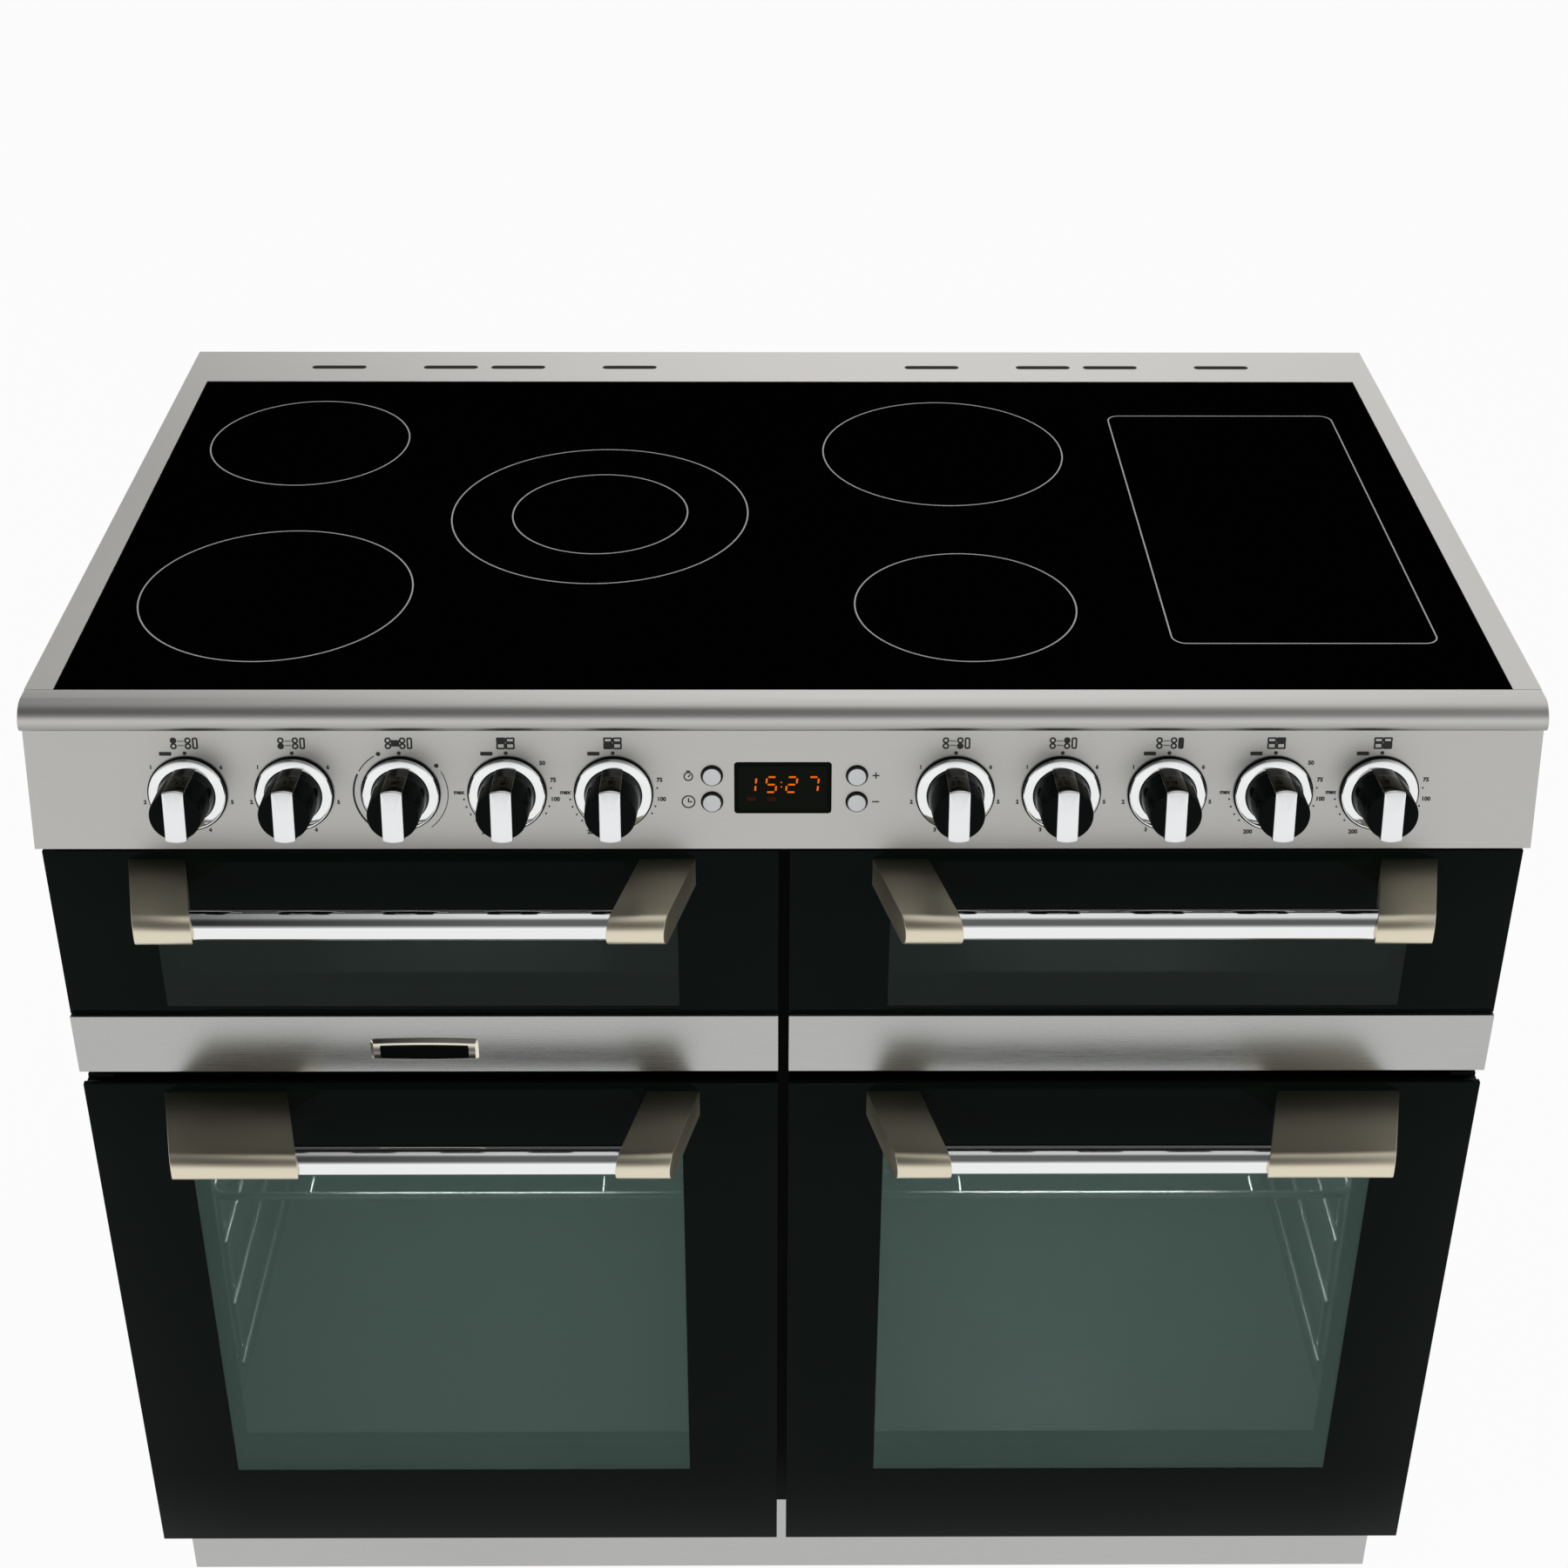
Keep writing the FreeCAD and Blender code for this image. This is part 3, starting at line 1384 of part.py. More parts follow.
nodes = {
    "hob_surround": hob_surround(),
    "hob_front_rail": hob_front_rail(),
    "hob_glass": hob_glass(),
    "radiant_elements": radiant_elements(),
    "hob_tray": hob_tray(),
    "control_panel": control_panel(),
    "clock_module": clock_module(),
    "control_switches": control_switches(),
    "side_panels": side_panels(),
    "back_panel": back_panel(),
    "base_pan": base_pan(),
    "plinth": plinth(),
    "levelling_feet": levelling_feet(),
    "front_frame": front_frame(),
    "oven_cavities": oven_cavities(),
    "shelf_runners": shelf_runners(),
    "fan_covers": fan_covers(),
    "fan_motors": fan_motors(),
    "oven_elements": oven_elements(),
    "door_seals": door_seals(),
    "door_hinge_brackets": door_hinge_brackets(),
    "terminal_box": terminal_box(),
}

for name, x in zip(KNOB_NAMES, knob_places()):
    nodes[name] = knob(x)

for name, (x, y) in button_places().items():
    nodes[name] = push_button(x, y)

shelf_levels = zip(UPPER_SHELF_LEVELS, LOWER_SHELF_LEVELS)
for side, word, (upper_level, lower_level) in zip(SIDES, ("left", "right"), shelf_levels):
    nodes["upper_" + word + "_shelf"] = wire_shelf(side, UPPER[0], False, upper_level)
    nodes["lower_" + word + "_shelf"] = wire_shelf(side, LOWER[0], True, lower_level)
    nodes[word + "_fan_impeller"] = fan_impeller(side)
    for piece, shape in upper_door_nodes().items():
        nodes["upper_" + word + "_door_" + piece] = mirrored(shape, side)
    for piece, shape in lower_door_nodes().items():
        nodes["lower_" + word + "_door_" + piece] = mirrored(shape, side)

os.makedirs("parts", exist_ok=True)
for name, shape in nodes.items():
    shape.exportStep("parts/" + name + ".step")
    print(name, len(shape.Solids), "solids")
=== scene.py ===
import json
import math

import bmesh
import bpy
from mathutils import Matrix, Vector


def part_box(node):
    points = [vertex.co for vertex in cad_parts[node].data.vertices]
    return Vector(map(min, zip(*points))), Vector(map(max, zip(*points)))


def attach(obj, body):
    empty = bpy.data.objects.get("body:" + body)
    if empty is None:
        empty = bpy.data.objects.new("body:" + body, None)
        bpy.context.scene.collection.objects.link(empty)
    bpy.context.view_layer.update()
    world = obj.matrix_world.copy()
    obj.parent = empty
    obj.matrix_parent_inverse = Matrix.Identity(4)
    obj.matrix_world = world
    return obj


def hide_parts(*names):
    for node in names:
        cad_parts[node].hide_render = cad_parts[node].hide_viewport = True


# Looks of a range cooker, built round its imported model. Lengths are metres.
# X runs to the right, Y to the back and Z up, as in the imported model.

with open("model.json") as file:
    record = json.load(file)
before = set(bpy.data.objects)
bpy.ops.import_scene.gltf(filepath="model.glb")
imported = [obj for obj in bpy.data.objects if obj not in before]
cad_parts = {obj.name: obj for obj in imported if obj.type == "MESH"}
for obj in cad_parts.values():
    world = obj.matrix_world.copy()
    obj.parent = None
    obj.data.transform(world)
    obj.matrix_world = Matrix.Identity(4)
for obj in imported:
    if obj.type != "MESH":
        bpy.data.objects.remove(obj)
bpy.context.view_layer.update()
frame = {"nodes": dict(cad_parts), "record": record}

NODES = frame["nodes"]
JOINTS = {joint["name"]: joint for joint in frame["record"]["behaviour"]["joints"]}
MM = 0.001
tiny = 1e-7
weld_gap = 1e-6
SIDES = {"left": -1, "right": 1}

# Camera, as solved from the photograph
image_pixels = 1800.0
sensor_width = 36.0
focal_pixels = 2767.2
principal_row = 700.0
camera_yaw = math.radians(0.453)
camera_pitch = math.radians(29.212)
camera_roll = math.radians(-0.227)
camera_x = -11.3 * MM
camera_from_face = 1332.0 * MM
camera_over_hob = 820.7 * MM

# Prints on the hob glass
print_line = 1.05 * MM
print_lift = 0.05 * MM
print_thickness = 0.05 * MM
ring_steps = 180

# Heating zones: across from the middle, back from the door face, radius
ROUND_ZONES = (
    (-374.8 * MM, 410.4 * MM, 78.0 * MM),
    (-357.7 * MM, 160.6 * MM, 95.4 * MM),
    (-136.8 * MM, 285.4 * MM, 110.8 * MM),
    (-136.8 * MM, 285.4 * MM, 65.5 * MM),
    (127.0 * MM, 392.2 * MM, 94.3 * MM),
    (127.4 * MM, 142.7 * MM, 77.5 * MM),
)
long_zone_x = 356.5 * MM
long_zone_y = 275.0 * MM
long_zone_width = 183.0 * MM
long_zone_depth = 372.0 * MM
long_zone_corner = 10.0 * MM

# Dark plates just below the top of the vent slots in the hob surround, standing in for the shade inside the
# slots: painted shade
vent_length = 47.2 * MM
vent_width = 8.2 * MM
vent_depth = 0.5 * MM
vent_drop = 0.1 * MM
vent_inset = 33.0 * MM
vent_group_x = 251.6 * MM
VENT_OFFSETS = (-123.2 * MM, -28.6 * MM, 28.6 * MM, 123.2 * MM)

# Heights between which the front rail's colour is painted darker towards its foot: painted shade
rail_unshaded_z = 894.0 * MM
rail_full_shade_z = 884.5 * MM

# Small rounds on pressed and ground edges
surround_round = 0.8 * MM
rail_round = 1.2 * MM
hob_glass_round = 0.6 * MM
panel_round = 0.35 * MM
lens_round = 0.3 * MM
trim_round = 0.5 * MM
pane_round = 0.5 * MM
bracket_round = 0.7 * MM

# Knobs, measured outwards from the panel
knob_height = 40.4 * MM
skirt_radius = 25.5 * MM
skirt_back = 1.7 * MM
skirt_front = 5.0 * MM
# Black ring under each chrome skirt and a little wider than it: painted shadow in the gap round the skirt
shadow_ring_margin = 0.9 * MM
shadow_ring_back = 0.1 * MM
barrel_base_radius = 18.2 * MM
barrel_front_radius = 16.9 * MM
barrel_front = 38.5 * MM
barrel_round = 1.0 * MM
barrel_round_share = 0.3
barrel_sink = 1.5 * MM
skirt_steps = 128
barrel_steps = 96
grip_steps = 72
grip_width = 13.8 * MM
grip_proud = 1.4 * MM
grip_round = 0.45 * MM
plate_depth = 0.4 * MM

# Section of the chrome skirt: inwards from its rim, outwards from its back
SKIRT_SECTION = (
    (0.5 * MM, 0.0), (0.0, 0.4 * MM), (0.0, 0.9 * MM), (0.15 * MM, 1.4 * MM), (0.5 * MM, 1.8 * MM),
    (1.0 * MM, 2.05 * MM), (2.0 * MM, 2.28 * MM), (3.5 * MM, 2.58 * MM), (5.2 * MM, 2.9 * MM),
    (6.2 * MM, 3.05 * MM), (6.7 * MM, 2.8 * MM),
)

# Panel prints, measured from the middle of a knob
index_rise = 28.6 * MM
index_radius = 1.3 * MM
icon_rise = 35.6 * MM
icon_line = 1.15 * MM
dash_rise = 28.2 * MM
dash_offset = -12.8 * MM
dash_length = 8.1 * MM
dash_height = 2.7 * MM
numeral_radius = 29.6 * MM
numeral_size = 3.8 * MM
letter_weight = 0.2 * MM
label_radius = 32.0 * MM
label_size = 4.0 * MM
tick_reach = 29.2 * MM
tick_radius = 0.65 * MM
dial_reach = 31.2 * MM
dial_spot_radius = 1.5 * MM
mark_corner = 0.8 * MM
dash_corner = 0.6 * MM
DASHED = (
    "hob_knob_rear_left", "oven_knob_upper_left", "oven_knob_lower_left",
    "hob_knob_rectangle", "oven_knob_upper_right", "oven_knob_lower_right",
)

# Scales about the knobs, in degrees clockwise from the top
numeral_count = 6
DIAL_SPOTS = (-26.0, 51.0)
DIAL_ARCS = ((1.3 * MM, -140.0, -64.0), (0.7 * MM, -60.0, -32.0), (0.55 * MM, 60.0, 142.0))
OVEN_LABELS = (("75", 73.0), ("100", 98.0), ("200", 208.0), ("max", 271.0))
UPPER_OVEN_LABELS = (("50", 48.0),)
OVEN_TICKS = (83.0, 109.0, 120.0, 227.0, 238.0, 250.0, 261.0)

# Plan of the hob above a hob knob, measured from the middle of the plan
MAP_SPOTS = {
    "hob_knob_rear_left": (-6.9 * MM, 2.0 * MM),
    "hob_knob_front_left": (-6.9 * MM, -2.0 * MM),
    "hob_knob_rear_right": (2.6 * MM, 2.0 * MM),
    "hob_knob_front_right": (2.6 * MM, -2.0 * MM),
}
map_spot_radius = 2.2 * MM
map_dual_x = -2.2 * MM
map_dual_width = 5.6 * MM
map_dual_height = 4.6 * MM
map_bar_rise = 1.5 * MM
map_bar_width = 4.2 * MM
map_bar_height = 0.55 * MM
map_long_x = 7.3 * MM
map_long_width = 3.8 * MM
map_long_height = 8.2 * MM
map_long_corner = 1.3 * MM

# Front view of the ovens above an oven knob: rise and height of each row
OVEN_ROWS = (("upper", 2.2 * MM, 3.9 * MM), ("lower", -1.9 * MM, 4.7 * MM))
oven_cell = 6.1 * MM

# Clock display, measured up the panel from its lower edge
display_x = -1.0 * MM
display_y = 44.15 * MM
display_top = 0.4 * MM
glass_width = 58.5 * MM
glass_height = 31.0 * MM
glass_corner = 1.2 * MM
digit_places = (-21.3 * MM, -7.7 * MM, 5.8 * MM, 20.0 * MM)
digit_rise = 2.5 * MM
digit_width = 6.6 * MM
digit_height = 10.8 * MM
digit_bar = 1.2 * MM
digit_corner = 0.45 * MM
digit_lean = 0.09
colon_x = -1.0 * MM
colon_rise = 1.6 * MM
colon_radius = 0.5 * MM
symbol_places = (-21.0 * MM, -7.4 * MM)
symbol_step = 2.0 * MM
symbol_width = 1.5 * MM
symbol_height = 2.4 * MM
symbol_line = 0.4 * MM
symbol_drop = 7.8 * MM

# Seven-segment figures: which bars are lit, of top, upper left, upper right, middle,
# lower left, lower right and bottom
SEGMENTS = {
    "1": (0, 0, 1, 0, 0, 1, 0),
    "5": (1, 1, 0, 1, 0, 1, 1),
    "2": (1, 0, 1, 1, 1, 0, 1),
    "7": (1, 0, 1, 0, 0, 1, 0),
}

# Push buttons, and their sections as radius and height over the panel
button_x = 48.0 * MM
button_low = 34.1 * MM
button_high = 52.9 * MM
button_steps = 48
BUTTONS = {
    "button_timer": (-button_x, button_high),
    "button_clock": (-button_x, button_low),
    "button_plus": (button_x, button_high),
    "button_minus": (button_x, button_low),
}
# The sleeves' black stands in for the dark, shadowed gap round each button: painted shade
SLEEVE_SECTION = (
    (0.0, -2.8 * MM), (8.5 * MM, -2.8 * MM), (8.5 * MM, -1.8 * MM), (6.5 * MM, -1.8 * MM),
    (6.5 * MM, 2.6 * MM), (6.3 * MM, 2.9 * MM), (5.9 * MM, 3.0 * MM), (0.0, 3.0 * MM),
)
FACE_SECTION = (
    (0.0, 2.6 * MM), (5.9 * MM, 2.6 * MM), (5.9 * MM, 3.05 * MM), (5.6 * MM, 3.3 * MM),
    (3.5 * MM, 3.45 * MM), (0.0, 3.5 * MM),
)

# Marks beside the buttons: circles as place and radius, bars as place, size and turn
fine_line = 0.9 * MM
marks_right = 60.6 * MM
marks_left = -63.6 * MM
BUTTON_CIRCLES = (
    (marks_left, button_low, 4.2 * MM),
    (marks_left, button_high - 0.6 * MM, 2.8 * MM),
)
BUTTON_BARS = (
    (marks_right, button_high, 4.6 * MM, fine_line, 0.0),
    (marks_right, button_high, fine_line, 4.6 * MM, 0.0),
    (marks_right, button_low, 4.6 * MM, fine_line, 0.0),
    (marks_left, button_low + 1.2 * MM, fine_line, 2.9 * MM, 0.0),
    (marks_left + 1.1 * MM, button_low, 2.7 * MM, fine_line, 0.0),
    (marks_left, button_high + 3.2 * MM, 2.8 * MM, fine_line, 0.0),
    (marks_left + 0.6 * MM, button_high - 0.2 * MM, fine_line, 2.2 * MM, -0.7),
)

# Doors
pane_skirt = 1.5 * MM
pane_lap = 9.0 * MM
bracket_slant = 19.0 * MM
bracket_width = 37.5 * MM
wide_bracket_width = 87.0 * MM
bar_radius = 10.3 * MM
bar_setback = 3.0 * MM
bar_steps = 64
nose_share = 0.999
nose_steps = 14

# Badge plate on the left strip
badge_x = -251.8 * MM
badge_drop = 4.0 * MM
badge_width = 75.5 * MM
badge_height = 17.0 * MM
badge_bulge = 0.12
field_width = 62.0 * MM
field_height = 10.8 * MM
rim_thickness = 2.6 * MM
rim_corner = 2.0 * MM
rim_round = 2.1 * MM
field_thickness = 0.3 * MM
field_corner = 1.0 * MM
field_back = 2.4 * MM
field_drop = 0.5 * MM
bow_cuts = 11

# Screw heads
screw_radius = 4.6 * MM
screw_rise = 2.0 * MM
screw_margin = 11.0 * MM
screw_steps = 24
lid_screw_radius = 3.2 * MM
lid_screw_rise = 1.4 * MM
back_screw_rows = 6
back_screw_shares = (-0.5, 0.0, 0.5)
side_screw_columns = 4
side_screw_shares = (0.25, 0.5, 0.75, 0.94)

# Studio lamps: place, size and power of each
lamp_target = (0.0, 0.0, 0.6)
LAMPS = {
    "lamp_top": ((0.0, -0.6, 3.2), 2.6, 22.0),
    "lamp_left": ((-2.6, -2.2, 2.2), 1.8, 14.0),
    "lamp_right": ((2.6, -2.0, 2.0), 1.8, 11.0),
}
floor_size = 12.0
floor_glow = 0.95
patch_elevation = math.radians(48.0)

# Oven lamps: height and power of each level
OVEN_LAMPS = {"upper": (752.0 * MM, 0.5), "lower": (530.0 * MM, 1.75)}
oven_lamp_x = 250.0 * MM
oven_lamp_depth = 220.0 * MM
oven_lamp_size = 200.0 * MM
oven_lamp_color = (0.88, 1.0, 0.96)
right_lamp_gain = 1.35

# Camera clipping, and the height of the steel over the hob glass
clip_near = 50.0 * MM
clip_far = 60.0
steel_over_glass = 0.5 * MM

# The planes that the prints and pieces share
hob_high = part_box("hob_glass")[1]
hob_print_z = hob_high.z + print_lift
face_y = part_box("lower_right_door_glass")[0].y


class Signal:
    """A shader socket or a number, with the usual arithmetic between them."""

    def __init__(self, shader, value):
        self.shader = shader
        self.value = value

    def math(self, operation, *others):
        values = {0: self.value}
        for index, other in enumerate(others, 1):
            values[index] = other.value if isinstance(other, Signal) else other
        return self.shader.node("ShaderNodeMath", {"operation": operation}, values)

    def __add__(self, other):
        return self.math("ADD", other)

    __radd__ = __add__

    def __mul__(self, other):
        return self.math("MULTIPLY", other)

    __rmul__ = __mul__

    def __sub__(self, other):
        return self.math("SUBTRACT", other)

    def __rsub__(self, other):
        return Signal(self.shader, other).math("SUBTRACT", self)


class Nodes:
    """A node tree, with short ways to add nodes and feed sockets."""

    def __init__(self, tree):
        self.tree = tree

    def node(self, kind, settings=None, values=None, output=0):
        node = self.tree.nodes.new(kind)
        for key, value in (settings or {}).items():
            setattr(node, key, value)
        for key, value in (values or {}).items():
            self.feed(node.inputs[key], value)
        return Signal(self, node.outputs[output])

    def feed(self, socket, value):
        value = value.value if isinstance(value, Signal) else value
        if isinstance(value, bpy.types.NodeSocket):
            self.tree.links.new(value, socket)
        else:
            socket.default_value = value

    def ramp(self, signal, low, high, low_value, high_value):
        values = {0: signal, 1: low, 2: high, 3: low_value, 4: high_value}
        return self.node("ShaderNodeMapRange", {"clamp": True}, values)


class Finish(Nodes):
    """One material with a Principled surface that varies a little over the piece."""

    def __init__(self, name, color, roughness, metallic=0.0, **fixed):
        self.material = bpy.data.materials.new(name)
        self.material.use_nodes = True
        super().__init__(self.material.node_tree)
        self.surface = self.tree.nodes["Principled BSDF"]
        self.set("Base Color", (*color, 1.0))
        self.set("Roughness", roughness)
        self.set("Metallic", metallic)
        for socket, value in fixed.items():
            self.set(socket.replace("_", " "), value)

    def set(self, socket, value):
        self.feed(self.surface.inputs[socket], value)

    def place(self, stretch=(1, 1, 1)):
        """Object coordinates, stretched along the axes."""
        where = self.node("ShaderNodeTexCoord", output="Object")
        return self.node("ShaderNodeMapping", values={"Vector": where, "Scale": stretch})

    def noise(self, scale, detail=3.0, rough=0.55, stretch=(1, 1, 1)):
        values = {"Vector": self.place(stretch), "Scale": scale, "Detail": detail, "Roughness": rough}
        return self.node("ShaderNodeTexNoise", {"noise_dimensions": "3D"}, values)

    def tint(self, factor, first, second):
        values = {0: factor, 6: (*first, 1.0), 7: (*second, 1.0)}
        return self.node("ShaderNodeMix", {"data_type": "RGBA"}, values, output=2)

    def bump(self, height, strength, distance):
        values = {"Height": height, "Strength": strength, "Distance": distance}
        self.set("Normal", self.node("ShaderNodeBump", {}, values))


def shade(color, factor):
    """A colour made lighter or darker."""
    return tuple(channel * factor for channel in color)


# Finishes

def brushed_finish(name, color, roughness, grain=(1.0, 60.0, 60.0), contrast=0.10, depth=0.05):
    """Brushed steel: fine grain drawn out along one axis, and slow cloudy change."""
    finish = Finish(name, color, roughness, 1.0, Anisotropic=0.35)
    lines = finish.noise(28.0, 4.0, 0.7, grain)
    clouds = finish.noise(5.0, 2.0)
    mixed = lines * 0.75 + clouds * 0.25
    finish.set("Base Color", finish.tint(mixed, shade(color, 1 - contrast), shade(color, 1 + contrast)))
    finish.set("Roughness", finish.ramp(mixed, 0.25, 0.75, roughness - 0.05, roughness + 0.07))
    finish.bump(lines, depth, 0.0002)
    return finish.material


def rail_painted_shade_finish(name, upper, lower, roughness):
    """Brushed steel with painted shade: its colour darkens from the top of the rail down to its foot."""
    finish = Finish(name, upper, roughness, 1.0, Anisotropic=0.35)
    lines = finish.noise(28.0, 4.0, 0.7, (1.0, 60.0, 60.0))
    height = finish.node("ShaderNodeSeparateXYZ", values={0: finish.place()}, output="Z")
    rise = finish.ramp(height, rail_full_shade_z, rail_unshaded_z, 0.0, 0.92)
    # Painted shade: the colour runs from the upper colour down to the darker lower colour towards the rail's
    # foot
    finish.set("Base Color", finish.tint(rise + lines * 0.08, lower, upper))
    finish.bump(lines, 0.05, 0.0002)
    return finish.material


def mirror_finish(name, color, roughness):
    """Bright plating with the faintest wear."""
    finish = Finish(name, color, roughness, 1.0)
    haze = finish.noise(90.0, 4.0)
    finish.set("Roughness", finish.ramp(haze, 0.35, 0.75, roughness, roughness + 0.05))
    finish.set("Base Color", finish.tint(haze, shade(color, 0.97), color))
    return finish.material


def enamel_finish(name, color, speck, roughness=0.25, amount=0.62):
    """Stove enamel with fine specks and a little orange peel."""
    finish = Finish(name, color, roughness)
    specks = finish.noise(900.0, 2.0)
    mask = finish.ramp(specks, amount, amount + 0.06, 0.0, 1.0)
    finish.set("Base Color", finish.tint(mask, color, speck))
    peel = finish.noise(160.0, 2.0)
    finish.set("Roughness", finish.ramp(peel, 0.3, 0.7, roughness - 0.04, roughness + 0.08))
    finish.bump(peel, 0.08, 0.0003)
    return finish.material


def gloss_finish(name, color, roughness=0.05, specular=0.5):
    """Polished glass or plastic with faint smears."""
    finish = Finish(name, color, roughness, 0.0, Specular_IOR_Level=specular)
    smears = finish.noise(7.0, 4.0, 0.6)
    finish.set("Roughness", finish.ramp(smears, 0.4, 0.75, roughness, roughness + 0.05))
    finish.set("Base Color", finish.tint(smears, shade(color, 0.9), shade(color, 1.1)))
    return finish.material


def window_finish(name, color, alpha, roughness=0.04, specular=0.3):
    """Tinted door window, partly see-through."""
    finish = Finish(name, color, roughness, 0.0, Specular_IOR_Level=specular)
    haze = finish.noise(6.0, 3.0)
    finish.set("Alpha", finish.ramp(haze, 0.3, 0.7, alpha - 0.03, alpha + 0.03))
    finish.set("Base Color", finish.tint(haze, shade(color, 0.93), shade(color, 1.07)))
    return finish.material


def plastic_finish(name, color, roughness=0.45, grain=900.0):
    """Moulded plastic with a fine spark texture."""
    finish = Finish(name, color, roughness)
    texture = finish.noise(grain, 2.0)
    finish.set("Roughness", finish.ramp(texture, 0.3, 0.7, roughness - 0.06, roughness + 0.08))
    finish.set("Base Color", finish.tint(texture, shade(color, 0.93), shade(color, 1.07)))
    finish.bump(texture, 0.1, 0.0002)
    return finish.material


def galvanised_finish(name, color):
    """Zinc-coated sheet with its spangle of flat crystals."""
    finish = Finish(name, color, 0.42, 1.0)
    cells = finish.node(
        "ShaderNodeTexVoronoi", {"feature": "F1"}, {"Vector": finish.place(), "Scale": 70.0}, output="Color")
    grey = finish.node("ShaderNodeRGBToBW", values={"Color": cells})
    finish.set("Base Color", finish.tint(grey, shade(color, 0.86), shade(color, 1.1)))
    finish.set("Roughness", finish.ramp(grey, 0.0, 1.0, 0.36, 0.5))
    return finish.material


def glow_finish(name, color, strength):
    """Lit segment of the display."""
    finish = Finish(name, shade(color, 0.02), 0.4, Specular_IOR_Level=0.0)
    flicker = finish.noise(400.0, 1.0)
    finish.set("Emission Color", finish.tint(flicker, shade(color, 0.9), color))
    finish.set("Emission Strength", strength)
    return finish.material


def ink_finish(name, color):
    """Screen-printed ink, barely uneven."""
    finish = Finish(name, color, 0.5)
    grain = finish.noise(1500.0, 2.0)
    finish.set("Base Color", finish.tint(grain, shade(color, 0.85), shade(color, 1.15)))
    return finish.material


panel_steel = brushed_finish("panel_steel", (0.50, 0.495, 0.475), 0.36)
trim_steel = brushed_finish("trim_steel", (0.76, 0.75, 0.72), 0.38)
# The front rail's steel, with painted shade darkening it towards its foot
rail_steel = rail_painted_shade_finish("rail_steel", (0.76, 0.75, 0.725), (0.33, 0.33, 0.32), 0.36)
strip_steel = brushed_finish("strip_steel", (0.46, 0.465, 0.455), 0.27)
bracket_nickel = brushed_finish("bracket_nickel", (0.75, 0.69, 0.54), 0.36, (1.0, 40.0, 40.0), 0.07)
chrome = mirror_finish("chrome", (0.86, 0.87, 0.87), 0.04)
plate_silver = brushed_finish("plate_silver", (0.86, 0.87, 0.88), 0.34, (50.0, 50.0, 1.0), 0.03)
spine_gloss = mirror_finish("spine_gloss", (0.12, 0.115, 0.095), 0.1)
warm_chrome = mirror_finish("warm_chrome", (0.84, 0.77, 0.66), 0.06)
wire_chrome = mirror_finish("wire_chrome", (0.8, 0.81, 0.81), 0.34)
ceramic_black = gloss_finish("ceramic_black", (0.0006, 0.0006, 0.0007), 0.05, 0.0)
barrel_black = gloss_finish("barrel_black", (0.0026, 0.004, 0.0032), 0.1, 0.03)
lens_black = gloss_finish("lens_black", (0.003, 0.0045, 0.003), 0.06, 0.02)
lens_grey = gloss_finish("lens_grey", (0.006, 0.0075, 0.0052), 0.06, 0.02)
border_black = gloss_finish("border_black", (0.003, 0.0058, 0.0044), 0.04, 0.03)
upper_tint = window_finish("upper_tint", (0.009, 0.0175, 0.0135), 0.8, 0.04, 0.12)
lower_tint = window_finish("lower_tint", (0.051, 0.104, 0.084), 0.62, 0.04, 0.2)
clear_pane = window_finish("clear_pane", (0.6, 0.65, 0.63), 0.1, 0.02, 0.5)
side_enamel = enamel_finish("side_enamel", (0.022, 0.023, 0.024), (0.03, 0.031, 0.032), 0.35)
frame_enamel = gloss_finish("frame_enamel", (0.0012, 0.0018, 0.0015), 0.3, 0.05)
oven_enamel = enamel_finish("oven_enamel", (0.112, 0.136, 0.132), (0.32, 0.36, 0.35), 0.3, 0.66)
galvanised = galvanised_finish("galvanised", (0.5, 0.51, 0.52))
element_steel = mirror_finish("element_steel", (0.16, 0.15, 0.14), 0.45)
button_silver = plastic_finish("button_silver", (0.72, 0.74, 0.75), 0.35)
black_plastic = plastic_finish("black_plastic", (0.012, 0.012, 0.012), 0.5)
switch_plastic = plastic_finish("switch_plastic", (0.55, 0.53, 0.48), 0.5)
seal_rubber = plastic_finish("seal_rubber", (0.015, 0.015, 0.015), 0.7, 500.0)
fibre = plastic_finish("fibre", (0.6, 0.6, 0.57), 0.9, 300.0)
panel_ink = ink_finish("panel_ink", (0.006, 0.006, 0.006))
zone_ink = ink_finish("zone_ink", (0.36, 0.36, 0.36))
digit_glow = glow_finish("digit_glow", (0.93, 0.15, 0.007), 1.0)
symbol_glow = glow_finish("symbol_glow", (0.06, 0.014, 0.003), 1.0)


# Ways to make and place meshes

def block_mesh(x0, x1, y0, y1, z0, z1):
    """Box between six planes."""
    bm = bmesh.new()
    bmesh.ops.create_cube(bm, size=1.0)
    size = Matrix.Diagonal((x1 - x0, y1 - y0, z1 - z0, 1.0))
    centre = Matrix.Translation(((x0 + x1) / 2, (y0 + y1) / 2, (z0 + z1) / 2))
    bmesh.ops.transform(bm, matrix=centre @ size, verts=bm.verts)
    return bm


def round_edges(bm, edges, offset, segments=3):
    """Rounds some edges."""
    bmesh.ops.bevel(
        bm, geom=list(edges), offset=offset, offset_type="OFFSET", segments=segments,
        profile=0.5, affect="EDGES", clamp_overlap=True, material=-1,
    )


def sharp_edges(bm, angle=30.0):
    """Edges where two faces meet at more than an angle."""
    limit = math.radians(angle)
    return [edge for edge in bm.edges if edge.is_manifold and edge.calc_face_angle() > limit]


def turned(bm, geom, steps):
    """Spins an outline once about Z."""
    bmesh.ops.spin(
        bm, geom=geom, cent=(0, 0, 0), axis=(0, 0, 1), angle=math.tau, steps=steps,
        use_merge=True, use_duplicate=False,
    )


